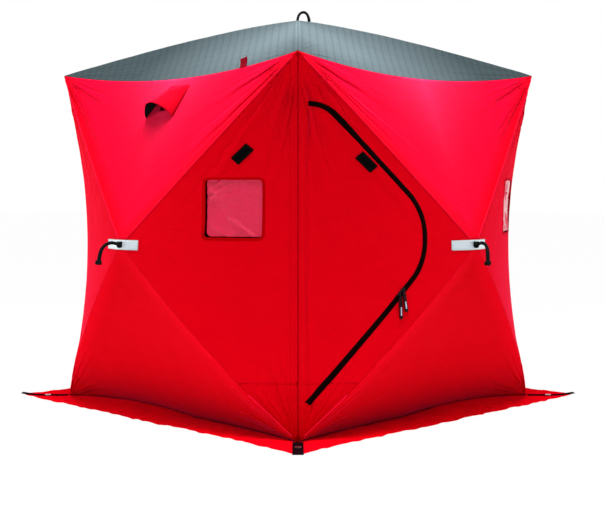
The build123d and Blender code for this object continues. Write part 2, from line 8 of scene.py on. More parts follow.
import bpy
import numpy as np
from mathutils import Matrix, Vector, geometry


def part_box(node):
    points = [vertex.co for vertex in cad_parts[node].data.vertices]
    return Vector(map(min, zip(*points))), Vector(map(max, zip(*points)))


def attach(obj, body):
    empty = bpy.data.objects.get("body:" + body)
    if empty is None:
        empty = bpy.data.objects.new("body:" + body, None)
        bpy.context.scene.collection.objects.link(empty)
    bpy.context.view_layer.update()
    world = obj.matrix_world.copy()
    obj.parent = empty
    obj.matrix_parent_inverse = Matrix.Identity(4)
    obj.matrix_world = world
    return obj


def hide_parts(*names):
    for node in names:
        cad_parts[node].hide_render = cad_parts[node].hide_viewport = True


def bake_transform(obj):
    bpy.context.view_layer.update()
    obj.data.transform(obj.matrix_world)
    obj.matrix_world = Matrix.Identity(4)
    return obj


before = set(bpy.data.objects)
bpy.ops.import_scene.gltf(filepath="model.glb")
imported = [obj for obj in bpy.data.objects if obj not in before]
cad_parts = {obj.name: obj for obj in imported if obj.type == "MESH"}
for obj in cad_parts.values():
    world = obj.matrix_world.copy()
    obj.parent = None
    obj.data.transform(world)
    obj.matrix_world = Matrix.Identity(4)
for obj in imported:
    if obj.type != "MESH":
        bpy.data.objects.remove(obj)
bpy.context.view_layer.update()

# ---- driving sizes: the outer ones come from the frame, the cloth's pattern is the model's ----
wall_low, wall_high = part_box("front_wall")
EAVE_HALF = wall_high.x
EAVE_HEIGHT = wall_high.z
FOOT_Z = wall_low.z
SKIRT_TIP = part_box("front_skirt")[1].x
EAVE_FLARE = 0.010
BASE_HALF = EAVE_HALF - EAVE_FLARE
HUB_REACH = BASE_HALF + 0.313
HUB_HEIGHT = 0.872
APEX_HEIGHT = 2.049
CORNER_SAG, EAVE_SAG, EAVE_DRAW, HEM_DRAW = 0.081, 0.070, 0.030, 0.060
LOWER_BOW, UPPER_BOW, ROOF_BOW, SIDE_SWELL = 0.045, 0.006, 0.026, 0.028
WALL_CREST, ROOF_CREST = 0.5, 0.68
HUB_FLAT = 0.062

WINDOW_WIDTH, WINDOW_TALL, WINDOW_LEAN = 0.246, 0.267, 0.012
WINDOW_SIDE, WINDOW_HEIGHT = BASE_HALF - 0.329, 1.048
WINDOW_CORNER = 0.014
COVER_SHIFT = (0.019, 0.015)    # the cover behind the pane hangs a little to the right and up
PANE_LIFT, PANE_THICK = -0.0050, 0.0008
COVER_LIFT, COVER_THICK = -0.011, 0.002
PANE_LAP, HEM_LAP = 0.010, 0.011    # how far the pane and its hem reach past the window's opening
DOOR_TOP, DOOR_BOTTOM = EAVE_HEIGHT - 0.2265, 0.168
DOOR_HEAD_RUN, DOOR_NOSE = 0.0694, BASE_HALF - 0.6115
DOOR_NOSE_TOP, DOOR_NOSE_BOTTOM = 1.040, 0.797
HEAD_ROUND, NOSE_ROUND, DOOR_STILE = 0.155, 0.280, 0.032
DOOR_GAP, ZIP_WIDTH = 0.005, 0.0085
SLIDER_ALONG, FOLD_HEIGHT = 0.650, 0.85
VENT_SIDE, VENT_LEAN = 0.076, 0.083
VENT_TOP, VENT_BOTTOM = EAVE_HEIGHT - 0.105, EAVE_HEIGHT - 0.263
VENT_HEAD, VENT_MOUTH, VENT_STAND, VENT_ARCH = 0.150, 0.207, 0.056, 0.073
PATCH_LONG, PATCH_WIDE = 0.096, 0.043
STRIP_REACH, STRIP_TALL = 0.125, 0.048
STRIP_SHIFT = -0.018     # the strips are sewn a little to the left of the hubs
STRAP_WIDE, STRAP_START, GROMMET_AT, EYE_RADIUS = 0.050, 0.008, 0.120, 0.008
SIDES = {"front": 0, "right": 90, "back": 180, "left": -90}
VENTED = ("left", "right")

CLOTH = 0.0022           # drawn thickness of the shell with its lining
STEP = 0.0115            # spacing of a face's mesh
FINE = 0.006             # spacing of a small piece's mesh
LAID = 0.0026            # how far a sewn-on piece is drawn off the shell
WELT_INSET = 0.027       # corner seam to the seam beside it
CORNER_PANEL = 0.256     # height of the level seam over each bottom corner
HEM_LIFT = 0.026         # how far the wall's foot rises off the ground, away from the front corner
HEM_REACH = 0.22         # how far up the wall that lift fades out
HEM_ROLL = 0.020         # how far the cloth stands out over its foot
SKIRT_CURL = 0.014       # how far the skirt's loose tips curl up
TAB_RISE = 0.046         # height of the label's tab
WELT_CLEAR = 5           # mesh steps that the piping keeps between the wall's part and the door's

# Cross-sections of the bands along a line: how far each point is to the side and how far off the cloth.
WELT = ((-0.0032, 0.0002), (-0.0018, 0.0022), (0.0018, 0.0022), (0.0032, 0.0002))
WINDOW_HEM = ((0.0, 0.0002), (-0.002, 0.0018), (-0.0095, 0.0020), (-0.0115, 0.0008), (-0.0115, -0.006))
HALF_GAP, DOOR_TAPE_EDGE = DOOR_GAP / 2, DOOR_GAP + ZIP_WIDTH
WALL_TAPE = ((-HALF_GAP, 0.0), (-HALF_GAP, 0.0025), (0.0, 0.0020), (ZIP_WIDTH, 0.0016), (ZIP_WIDTH, 0.0))
DOOR_TAPE = ((-DOOR_TAPE_EDGE, 0.0), (-DOOR_TAPE_EDGE, 0.0016), (-DOOR_GAP, 0.0020), (-HALF_GAP, 0.0025),
             (-HALF_GAP, 0.0))


# ---- surfaces ----

def lerp(a, b, share=0.5):
    return a + (b - a) * share


def unit(v):
    return v / np.linalg.norm(v, axis=-1, keepdims=True)


def places(*parts):
    """Points from their coordinates, one list or grid of numbers for each."""
    return np.column_stack([np.ravel(part) for part in parts])


def ridge(corner, aim, bow, crest):
    """Control points of a ridge, from its corner to the edge of the hub's flat."""
    left = HUB_FLAT / 2 ** 0.5 / np.linalg.norm(aim - corner)
    rest = 1 - crest
    share = 1 - left / (rest + (rest ** 2 + (1 - 2 * rest) * left) ** 0.5)
    bend = lerp(corner, aim, crest) + np.array([0, 0, 2 * bow])
    first = lerp(corner, bend, share)
    return corner, first, lerp(first, lerp(bend, aim, share), share)


class Skin:
    """A face of the tent: four facets between ridges that meet at a hub's small flat."""

    def __init__(self, rim, aim, bows, swells, crest):
        self.rim = [np.array(p, float) for p in rim]
        self.aim = np.array(aim, float)
        ridges = [ridge(self.rim[2 * i], self.aim, bows[i], crest) for i in range(4)]
        self.nets = []
        for i in range(4):
            a, b, edge = ridges[i], ridges[(i + 1) % 4], self.rim[2 * i + 1]
            inner = lerp(a[2], b[2])
            heart = lerp(edge, inner) + lerp(a[1], b[1]) - lerp(lerp(a[0], b[0]), inner)
            heart = heart + np.array([0, 0, 4 * swells[i]])
            self.nets.append(np.array([[a[0], edge, b[0]], [a[1], heart, b[1]], [a[2], inner, b[2]]]))
        self.tips = [one[2] for one in ridges]
        self.centre = sum(self.tips) / 4

    def wedge(self, p, i, hub):
        """Shares of two neighbouring ridges' directions that lead from the middle to p."""
        ends = self.tips if hub else self.rim[::2]
        middle = self.centre if hub else self.aim
        u, v = (ends[i] - middle)[:2], (ends[(i + 1) % 4] - middle)[:2]
        scale = u[0] * v[1] - u[1] * v[0]
        d = p - middle[:2]
        return (d[:, 0] * v[1] - d[:, 1] * v[0]) / scale, (u[0] * d[:, 1] - u[1] * d[:, 0]) / scale

    def height(self, p):
        """Height of the face at plane places p."""
        p = np.atleast_2d(np.asarray(p, float))[:, :2]
        high = np.full(len(p), self.centre[2])
        for i in range(4):
            u, v = self.wedge(p, i, False)
            mine = (u >= -1e-9) & (v >= -1e-9)
            if mine.any():
                high[mine] = self.facet_height(i, p[mine], u[mine], v[mine])
        for i in range(4):
            u, v = self.wedge(p, i, True)
            mine = (u >= 0) & (v >= 0) & (u + v <= 1)
            rise = self.tips[i][2] - self.centre[2], self.tips[(i + 1) % 4][2] - self.centre[2]
            high[mine] = self.centre[2] + u[mine] * rise[0] + v[mine] * rise[1]
        return high

    def facet_height(self, i, p, u, v):
        """A facet's height, from its two shares found by Newton's method."""
        total = np.maximum(u + v, 1e-6)
        s, t = np.clip(v / total, 0, 1), np.clip(1 - total, 0, 0.999)
        for _ in range(9):
            point, by_s, by_t = self.spot(i, s, t)
            miss = p - point[:, :2]
            scale = by_s[:, 0] * by_t[:, 1] - by_s[:, 1] * by_t[:, 0]
            scale = np.where(np.abs(scale) < 1e-9, 1e-9, scale)
            s = np.clip(s + (miss[:, 0] * by_t[:, 1] - miss[:, 1] * by_t[:, 0]) / scale, -0.1, 1.1)
            t = np.clip(t + (miss[:, 1] * by_s[:, 0] - miss[:, 0] * by_s[:, 1]) / scale, -0.1, 1.05)
        return self.spot(i, s, t)[0][:, 2]

    def spot(self, i, s, t):
        """Point of facet i and its slopes, s across between the ridges and t in from the rim."""
        def weights(x):
            return np.stack([(1 - x) ** 2, 2 * x * (1 - x), x ** 2], 1)

        def slopes(x):
            return np.stack([2 * x - 2, 2 - 4 * x, 2 * x], 1)

        net = self.nets[i]
        point = np.einsum("ni,nj,ijk->nk", weights(t), weights(s), net)
        by_s = np.einsum("ni,nj,ijk->nk", weights(t), slopes(s), net)
        by_t = np.einsum("ni,nj,ijk->nk", slopes(t), weights(s), net)
        return point, by_s, by_t

    def edge(self, i, step=STEP):
        """Plane points along the rim beside facet i."""
        a, b, c = self.nets[i][0][:, :2]
        count = max(2, int(np.linalg.norm(c - a) / step))
        x = np.linspace(0, 1, count + 1)[:-1, None]
        return a * (1 - x) ** 2 + b * 2 * x * (1 - x) + c * x ** 2

    def outline(self):
        return np.concatenate([self.edge(i) for i in range(4)])

    def ridge_lines(self):
        """Plane points of the four ridges and of the flat's rim."""
        lines = []
        for i in range(4):
            a, c = self.rim[2 * i][:2], self.tips[i][:2]
            count = int(np.linalg.norm(c - a) / STEP)
            lines.append(a + (c - a) * np.linspace(0, 1, count + 1)[:, None])
            lines.append(np.array([self.tips[i][:2], self.tips[(i + 1) % 4][:2]]))
        return lines

    def ridge_distance(self, p):
        """Distance to the nearest ridge."""
        away = []
        for i in range(4):
            a, c = self.rim[2 * i][:2], self.tips[i][:2]
            way = unit(c - a)
            run = np.clip((p - a) @ way, 0, np.linalg.norm(c - a))
            away.append(np.linalg.norm(p - a - run[:, None] * way, axis=1))
        return np.min(away, axis=0)


def wall_skin():
    seam = (BASE_HALF + EAVE_HALF) / 2 - 2 * CORNER_SAG
    level = (EAVE_HEIGHT + FOOT_Z) / 2
    rim = [(-BASE_HALF, FOOT_Z, BASE_HALF), (0, FOOT_Z, BASE_HALF - 2 * HEM_DRAW),
           (BASE_HALF, FOOT_Z, BASE_HALF), (seam, level, seam),
           (EAVE_HALF, EAVE_HEIGHT, EAVE_HALF), (0, EAVE_HEIGHT - 2 * EAVE_SAG, EAVE_HALF - 2 * EAVE_DRAW),
           (-EAVE_HALF, EAVE_HEIGHT, EAVE_HALF), (-seam, level, seam)]
    bows = (LOWER_BOW, LOWER_BOW, UPPER_BOW, UPPER_BOW)
    return Skin(rim, (0, HUB_HEIGHT, HUB_REACH), bows, (0, SIDE_SWELL, 0, SIDE_SWELL), WALL_CREST)


def roof_skin():
    e, m, z = EAVE_HALF, EAVE_HALF - 2 * EAVE_DRAW, EAVE_HEIGHT - 2 * EAVE_SAG
    rim = [(-e, -e, EAVE_HEIGHT), (0, -m, z), (e, -e, EAVE_HEIGHT), (m, 0, z),
           (e, e, EAVE_HEIGHT), (0, m, z), (-e, e, EAVE_HEIGHT), (-m, 0, z)]
    return Skin(rim, (0, 0, APEX_HEIGHT), (ROOF_BOW,) * 4, (0,) * 4, ROOF_CREST)


WALL, ROOF = wall_skin(), roof_skin()


def stand(side):
    """A function that puts a wall's (across, up, out) points in the hut."""
    angle = math.radians(SIDES[side])
    c, s = math.cos(angle), math.sin(angle)

    def place(p):
        x, y = p[:, 0], -p[:, 2]
        return np.stack([c * x - s * y, s * x + c * y, p[:, 1]], 1)
    return place


def lie(p):
    """The roof's points are the hut's own."""
    return p


# ---- outlines in a face's plane ----

def box_tips(long, tall, lean=0.0):
    """The corners of a box about the middle, its head further across than its foot by the lean."""
    half, rise, shift = long / 2, tall / 2, lean / 2
    return np.array([(-half - shift, -rise), (half - shift, -rise),
                     (half + shift, rise), (-half + shift, rise)])


def rounded(points, radii, step=0.008):
    """A closed outline with each corner rounded, as plane points."""
    out = []
    count = len(points)
    for i, radius in enumerate(radii):
        before, here, after = (np.array(points[(i + k) % count], float) for k in (-1, 0, 1))
        if radius <= 0:
            out.append(here)
            continue
        a, b = unit(before - here), unit(after - here)
        turn = math.acos(np.clip(a @ b, -1, 1))
        cut = radius / math.tan(turn / 2)
        middle = here + unit(a + b) * radius / math.sin(turn / 2)
        start, stop = here + a * cut - middle, here + b * cut - middle
        sweep = math.pi - turn
        pieces = max(3, int(radius * sweep / step))
        for k in range(pieces + 1):
            share = k / pieces
            mix = (math.sin((1 - share) * sweep) * start + math.sin(share * sweep) * stop) / math.sin(sweep)
            out.append(middle + mix)
    return np.array(out)


def spaced(points, step=0.010, loop=True):
    """The same line with points no further apart than a step."""
    out = []
    ends = np.concatenate([points, points[:1]]) if loop else points
    for a, b in zip(ends, ends[1:]):
        count = max(1, int(np.linalg.norm(b - a) / step))
        out += [a + (b - a) * k / count for k in range(count)]
    if not loop:
        out.append(ends[-1])
    return np.array(out)


def moved_out(points, distance, loop=True):
    """A line moved sideways, outwards for an anticlockwise outline."""
    if loop:
        run = np.roll(points, -1, 0) - np.roll(points, 1, 0)
    else:
        run = np.gradient(points, axis=0)
    run = unit(run)
    return points + places(run[:, 1], -run[:, 0]) * distance


def seam_side(z, inset):
    """How far across a wall its left corner seam is at a height, plus an inset."""
    low, bend, high = WALL.rim[0], WALL.rim[7], WALL.rim[6]
    share = (z - FOOT_Z) / (EAVE_HEIGHT - FOOT_Z)
    return low[0] * (1 - share) ** 2 + bend[0] * 2 * share * (1 - share) + high[0] * share ** 2 + inset


def door_free_edge():
    """The door's free edge, from the fold's foot round the nose to the fold's head."""
    head = (seam_side(DOOR_TOP, DOOR_STILE), DOOR_TOP)
    foot = (seam_side(DOOR_BOTTOM, DOOR_STILE), DOOR_BOTTOM)
    shoulder = (head[0] + DOOR_HEAD_RUN, DOOR_TOP)
    nose = [(-DOOR_NOSE, DOOR_NOSE_BOTTOM), (-DOOR_NOSE, DOOR_NOSE_TOP)]
    line = rounded([foot, *nose, shoulder, head], [0, NOSE_ROUND, NOSE_ROUND, HEAD_ROUND, 0])
    return spaced(line, loop=False)


def door_outline():
    z = np.linspace(DOOR_TOP, DOOR_BOTTOM, 120)[1:-1]
    return np.concatenate([door_free_edge(), places(seam_side(z, DOOR_STILE), z)])


def window_outline(grow=0.0):
    tips = box_tips(WINDOW_WIDTH, WINDOW_TALL, WINDOW_LEAN) + (WINDOW_SIDE, WINDOW_HEIGHT)
    line = spaced(rounded(tips, [WINDOW_CORNER] * 4, 0.004))
    return moved_out(line, grow) if grow else line


# ---- folds ----

def grain(p, size, seed):
    """Smooth noise from -1 to 1 over plane places."""
    q = p / size + seed * 17.31
    cell = np.floor(q).astype(np.int64)
    f = q - cell
    f = f * f * (3 - 2 * f)

    def value(dx, dy):
        n = (cell[:, 0] + dx) * 374761393 + (cell[:, 1] + dy) * 668265263 + seed * 362437
        n = (n ^ (n >> 13)) * 1274126177
        return ((n ^ (n >> 16)) & 0xFFFF) / 32767.5 - 1

    low = value(0, 0) * (1 - f[:, 0]) + value(1, 0) * f[:, 0]
    high = value(0, 1) * (1 - f[:, 0]) + value(1, 1) * f[:, 0]
    return low * (1 - f[:, 1]) + high * f[:, 1]


# Fans of pull folds that run out from a corner: the tip, which way (degrees), how wide, how many folds,
# where they start and how far they reach, and how deep they are. A wall's are given for its left half, and
# the roof's for one corner.
TOP_TIP, FOOT_TIP = (-EAVE_HALF, EAVE_HEIGHT), (-BASE_HALF, FOOT_Z)
WALL_FANS = [
    (TOP_TIP, -36, 5.5, 4.4, 0.07, 0.52, 0.0050), (TOP_TIP, -20, 8.0, 4.0, 0.07, 0.38, 0.0056),
    (TOP_TIP, -52, 5.5, 3.6, 0.09, 0.60, 0.0040), (TOP_TIP, -72, 9.5, 5.0, 0.11, 0.46, 0.0066),
    (FOOT_TIP, 36, 6.0, 3.2, 0.08, 0.42, 0.0030), (FOOT_TIP, 14, 9.0, 4.0, 0.08, 0.34, 0.0034),
    (FOOT_TIP, 52, 6.0, 3.0, 0.08, 0.36, 0.0028), (FOOT_TIP, 69, 9.0, 4.0, 0.08, 0.30, 0.0032),
]
ROOF_TIP = (-EAVE_HALF, -EAVE_HALF)
ROOF_FANS = [(ROOF_TIP, 16, 9.0, 4.5, 0.08, 0.42, 0.0018), (ROOF_TIP, 35, 5.0, 3.4, 0.08, 0.50, 0.0013),
             (ROOF_TIP, 55, 5.0, 3.4, 0.08, 0.50, 0.0013), (ROOF_TIP, 74, 9.0, 4.5, 0.08, 0.42, 0.0018)]


def fan_parts(p, fan):
    """Place across a fan, counted in folds, and how deep its folds are there."""
    (side, up), toward, spread, folds, start, reach, size = fan
    x, y = p[:, 0] - side, p[:, 1] - up
    r = np.hypot(x, y) + 1e-6
    angle = (np.arctan2(y, x) - math.radians(toward) + math.pi) % (2 * math.pi) - math.pi
    across = angle / math.radians(spread)
    depth = size * np.exp(-1.5 * across ** 2 - (r / reach) ** 2) * np.clip(r / start - 1, 0, 1)
    return across * folds / 2, depth


def all_fans(p, roof):
    """Each fan's parts at the places as seen from every corner that the fans are given for."""
    turns = ((1, 1), (1, -1), (-1, 1), (-1, -1)) if roof else ((1, 1), (-1, 1))
    return [[fan_parts(p * turn, fan) for fan in (ROOF_FANS if roof else WALL_FANS)] for turn in turns]


def fine_folds(p, roof=False):
    """Phase and depth of the strongest fan's folds at each place, and none where two are alike."""
    found = sum(all_fans(p, roof), [])
    phase, depth = (np.array([part[k] for part in found]) for k in range(2))
    best, row = depth.argmax(0), np.arange(len(p))
    return phase[best, row], depth[best, row] - np.sort(depth, 0)[-2]


def broad_folds(p, seed, roof=False):
    """The fans' broader folds, which are drawn in the mesh and only ever stand outwards."""
    lift = np.zeros(len(p))
    for corner in all_fans(p, roof):
        for number, (phase, depth) in enumerate(corner):
            lift += 1.3 * depth * (1 + np.sin(phase * 2.1 + seed + number))
    return lift


def rim_distance(p):
    """About how far a wall's place lies inside its rim."""
    side = -seam_side(p[:, 1], 0) - np.abs(p[:, 0])
    top = EAVE_HEIGHT - EAVE_SAG * (1 - (p[:, 0] / EAVE_HALF) ** 2) - p[:, 1]
    return np.minimum(np.minimum(side, top), p[:, 1] - FOOT_Z)


def roof_rim_distance(p):
    """About how far a roof's place lies inside its rim."""
    drawn = EAVE_DRAW * (1 - (p[:, ::-1] / EAVE_HALF) ** 2)
    return (EAVE_HALF - drawn - np.abs(p)).min(1)


def wall_folds(p, seed):
    """Folds of a wall over its face: fans from the corners, a roll over the hem, and slight slack."""
    lift = 0.0012 + 0.0011 * grain(p, 0.16, seed + 1) + 0.0008 * grain(p, 0.07, seed + 2)
    lift += broad_folds(p, seed)
    rise = np.clip((p[:, 1] - FOOT_Z) / 0.34, 0, 1)
    ends = np.clip((BASE_HALF - np.abs(p[:, 0])) / 0.55, 0, 1)
    lift += HEM_ROLL * np.sin(np.pi * rise ** 0.8) * np.sin(np.pi / 2 * ends) ** 2
    return lift * np.clip(rim_distance(p) / 0.03, 0, 1)


def folds_of(side):
    """A wall's folds, with the number that tells it from the other walls."""
    seed = 11 * list(SIDES).index(side)
    return lambda p: wall_folds(p, seed)


def roof_folds(p):
    """The roof's folds and slight slack."""
    seed = 9
    lift = 0.0010 + 0.0012 * grain(p, 0.2, seed) + 0.0008 * grain(p, 0.07, seed + 1)
    return (lift + broad_folds(p, seed, True)) * np.clip(roof_rim_distance(p) / 0.03, 0, 1)


def crease(p, a, b, width, height):
    """One soft fold along a line, fading towards its ends."""
    a, b = np.array(a, float), np.array(b, float)
    way = unit(b - a)
    run = (p - a) @ way / np.linalg.norm(b - a)
    off = (p - a) @ np.array([-way[1], way[0]])
    return height * np.exp(-(off / width) ** 2) * np.sin(np.clip(run, 0, 1) * math.pi)


# The pane's creases about its middle: from, to, half width and height.
PANE_CREASES = [
    ((-0.12, 0.13), (-0.02, 0.02), 0.012, 0.008), ((-0.13, 0.02), (0.02, 0.13), 0.008, 0.009),
    ((-0.13, 0.06), (-0.02, 0.15), 0.006, 0.007), ((-0.04, -0.02), (0.11, -0.15), 0.006, 0.011),
    ((-0.12, -0.06), (0.02, -0.15), 0.007, 0.007),
]


def pane_folds(p):
    """Folds of a window's sheet: slack and a few creases."""
    lift = 0.0022 * grain(p, 0.08, 31) + 0.0018 * grain(p, 0.03, 33)
    return lift + sum(crease(p - (WINDOW_SIDE, WINDOW_HEIGHT), *one) for one in PANE_CREASES)


def hem_rise(side, across):
    """How far a wall's foot is off the ground, in its half away from the front corner."""
    far = 1 if side in ("front", "right") else -1
    start = 0.12
    run = np.clip((far * across + start) / (BASE_HALF + start), 0, 1)
    return HEM_LIFT * np.sin(np.pi * run)


def seam_distance(p, roof=False, edges=()):
    """How far a place is from the nearest seam."""
    if roof:
        return np.minimum(ROOF.ridge_distance(p), np.abs(roof_rim_distance(p)))
    beyond = np.abs(p[:, 0]) < BASE_HALF - CORNER_PANEL     # past the end of the level seams
    # the least distances keep the painted shade lines faint along the ridges, beside the corner seam and
    # along the level seams
    seams = [np.maximum(WALL.ridge_distance(p), np.where(p[:, 1] < HUB_HEIGHT, 0.0029, 0.0018)),
             np.abs(rim_distance(p)),
             np.maximum(np.abs(-seam_side(p[:, 1], 0) - p[:, 0] - WELT_INSET), 0.0024),
             0.0014 + np.abs(p[:, 1] - CORNER_PANEL) + 9.0 * beyond]
    return np.min(seams + [line_distance(p, line) for line in edges], axis=0)


def seam_lines():
    """The seams that cross a wall's facets: one beside the right corner and one over each bottom corner."""
    z = np.linspace(FOOT_Z, EAVE_HEIGHT, 180)[1:-1]
    beside = places(-seam_side(z, WELT_INSET), z)
    corner = seam_side(CORNER_PANEL, 0.001)
    level = spaced(np.array([(corner, CORNER_PANEL), (CORNER_PANEL - BASE_HALF, CORNER_PANEL)]), loop=False)
    return [beside, level, level * (-1, 1)]


def line_distance(p, line):
    """Distance to the nearest point of a closely spaced line."""
    low, high = line.min(0) - 0.05, line.max(0) + 0.05
    near = np.all((p > low) & (p < high), axis=1)
    away = np.full(len(p), 0.05)
    if near.any():
        gap = np.linalg.norm(p[near][:, None] - line[None], axis=2)
        away[near] = np.minimum(0.05, gap.min(1))
    return away


# ---- meshes ----

def inside(p, outline):
    """Which plane places lie inside a closed outline."""
    a, b = outline, np.roll(outline, -1, 0)
    hit = np.zeros(len(p), bool)
    for (ax, ay), (bx, by) in zip(a, b):
        if ay != by:
            cross = (ay > p[:, 1]) != (by > p[:, 1])
            hit ^= cross & (p[:, 0] < (bx - ax) * (p[:, 1] - ay) / (by - ay) + ax)
    return hit


def within(p, outline, holes):
    """Which plane places lie inside an outline and outside its holes."""
    keep = inside(p, outline)
    for hole in holes:
        keep &= ~inside(p, hole)
    return keep


def net_plane(outline, holes=(), lines=(), step=STEP):
    """Triangles that fill an outline, with holes left open and edges along the given lines."""
    low, high = outline.min(0), outline.max(0)
    across = np.arange(low[0], high[0], step)
    up = np.arange(low[1], high[1], step * 0.866)
    grid = np.array([(x + (row % 2) * step / 2, y) for row, y in enumerate(up) for x in across])
    loops = [outline, *holes]
    fixed = np.concatenate([*loops, *lines])
    edges, start = [], 0
    for one in loops:
        edges += [(start + k, start + (k + 1) % len(one)) for k in range(len(one))]
        start += len(one)
    for one in lines:
        edges += [(start + k, start + k + 1) for k in range(len(one) - 1)]
        start += len(one)
    grid = grid[within(grid, outline, holes)]
    close = np.zeros(len(grid), bool)
    for part in np.array_split(fixed, max(1, len(fixed) // 200)):
        gap = np.linalg.norm(grid[:, None] - part[None], axis=2).min(1)
        close |= gap < step * 0.55
    points = np.concatenate([fixed, grid[~close]])
    made = geometry.delaunay_2d_cdt([Vector(p) for p in points], edges, [], 0, 1e-6)
    flat, faces = np.array([tuple(v) for v in made[0]]), np.array(made[2])
    keep = within(flat[faces].mean(1), outline, holes)
    used, back = np.unique(faces[keep], return_inverse=True)
    return flat[used], back.reshape(-1, 3)


def vertex_normals(points, faces):
    """Each point's normal, from the triangles round it."""
    a, b, c = (points[faces[:, k]] for k in range(3))
    normal = np.cross(b - a, c - a)
    out = np.zeros_like(points)
    for k in range(3):
        np.add.at(out, faces[:, k], normal)
    return out / np.maximum(np.linalg.norm(out, axis=1), 1e-12)[:, None]


def rim_edges(faces):
    """Edges of a triangle mesh that only one face uses, in that face's direction."""
    edges = np.concatenate([faces[:, [0, 1]], faces[:, [1, 2]], faces[:, [2, 0]]])
    seen = {}
    for a, b in edges.tolist():
        key = (min(a, b), max(a, b))
        seen[key] = None if key in seen else (a, b)
    return [e for e in seen.values() if e]


def shares(rows, columns):
    """A grid's shares down its rows and across its columns, from 0 to 1."""
    return np.meshgrid(np.linspace(0, 1, rows + 1), np.linspace(0, 1, columns + 1), indexing="ij")


def grid_faces(rows, columns):
    """Triangles of a grid of points, in rows."""
    a = (np.arange(rows)[:, None] * (columns + 1) + np.arange(columns)).ravel()
    b = a + columns + 1
    return np.concatenate([places(a, a + 1, b + 1), places(a, b + 1, b)])


def edge_marks(away):
    """The marks of cloth without pull folds, from its points' distances to their edge."""
    return places(away, np.zeros(len(away)), np.zeros(len(away)))


def placed(name, data):
    """A new object in the scene."""
    made = bpy.data.objects.new(name, data)
    bpy.context.scene.collection.objects.link(made)
    return made


class Mesh:
    """One object's mesh, put together from pieces.

    A point's marks are its distance to the nearest seam, and the phase and depth of its pull folds.
    """

    def __init__(self):
        self.points, self.faces, self.index, self.uv, self.marks = [], [], [], [], []
        self.count = 0

    def add(self, points, faces, index, uv, marks=None):
        self.faces += [tuple(int(v) + self.count for v in face) for face in faces]
        self.index += list(index)
        self.points.append(points)
        self.uv.append(uv)
        self.marks.append(np.tile((0.05, 0, 0), (len(points), 1)) if marks is None else marks)
        self.count += len(points)
        return self

    def cloth(self, flat, faces, world, outward, thick=CLOTH, marks=None, index=(0, 1)):
        """Two layers, shell outside and lining inside, closed along their rims."""
        normal = vertex_normals(world, faces)
        if np.dot(normal.mean(0), outward) < 0:
            faces, normal = faces[:, ::-1], -normal
        count = len(world)
        sides = [(b, a, a + count, b + count) for a, b in rim_edges(faces)]
        every = [*faces.tolist(), *(faces[:, ::-1] + count).tolist(), *sides]
        number = [index[0]] * len(faces) + [index[1]] * len(faces) + [index[0]] * len(sides)
        both = None if marks is None else np.concatenate([marks, marks])
        return self.add(np.concatenate([world, world - normal * thick]), every, number,
                        np.concatenate([flat, flat]), both)

    def build(self, name, materials, smooth=True):
        mesh = bpy.data.meshes.new(name)
        mesh.from_pydata([tuple(p) for p in np.concatenate(self.points)], [], self.faces)
        for material in materials:
            mesh.materials.append(material)
        mesh.polygons.foreach_set("material_index", np.array(self.index, np.int32))
        mesh.polygons.foreach_set("use_smooth", np.full(len(mesh.polygons), smooth))
        loops = np.zeros(len(mesh.loops), np.int32)
        mesh.loops.foreach_get("vertex_index", loops)
        layer = mesh.uv_layers.new(name="plane")
        layer.data.foreach_set("uv", np.concatenate(self.uv).astype(np.float32)[loops].ravel())
        marks = mesh.attributes.new("marks", "FLOAT_VECTOR", "POINT")
        marks.data.foreach_set("vector", np.concatenate(self.marks).astype(np.float32).ravel())
        mesh.update()
        return placed(name, mesh)


def outward_of(place):
    """The way that a face looks, in the hut."""
    ends = place(np.array([[0, 0, 0.0], [0, 0, 1.0]]))
    return ends[1] - ends[0]


def on_face(skin, place, folds, flat, lift=0.0):
    """Places in the hut of a face's plane places, with the folds and a lift off the cloth."""
    return place(places(flat[:, 0], flat[:, 1], skin.height(flat) + folds(flat) + lift))


def face_piece(mesh, side, folds, outline, lift, thick, step=FINE, index=(0, 1)):
    """A flat piece sewn over a wall, with its stitches along its edge."""
    flat, faces = net_plane(outline, (), (), step)
    world = on_face(WALL, stand(side), folds, flat, lift)
    marks = edge_marks(line_distance(flat, outline))
    return mesh.cloth(flat, faces, world, outward_of(stand(side)), thick, marks, index)


def ribbon(mesh, side, line, section, loop=False):
    """A band along a wall's plane line: one row of points for each point of its cross-section."""
    run = np.concatenate([[0], np.cumsum(np.linalg.norm(np.diff(line, axis=0), axis=1))])
    points = [on_face(WALL, stand(side), folds_of(side), moved_out(line, offset, loop), lift)
              for offset, lift in section]
    uv = [places(run, np.full(len(run), offset)) for offset, _ in section]
    n = len(line)
    turns = n if loop else n - 1
    faces = [(r * n + k, r * n + (k + 1) % n, (r + 1) * n + (k + 1) % n, (r + 1) * n + k)
             for r in range(len(section) - 1) for k in range(turns)]
    return mesh.add(np.concatenate(points), faces, [0] * len(faces), np.concatenate(uv))


# ---- materials ----

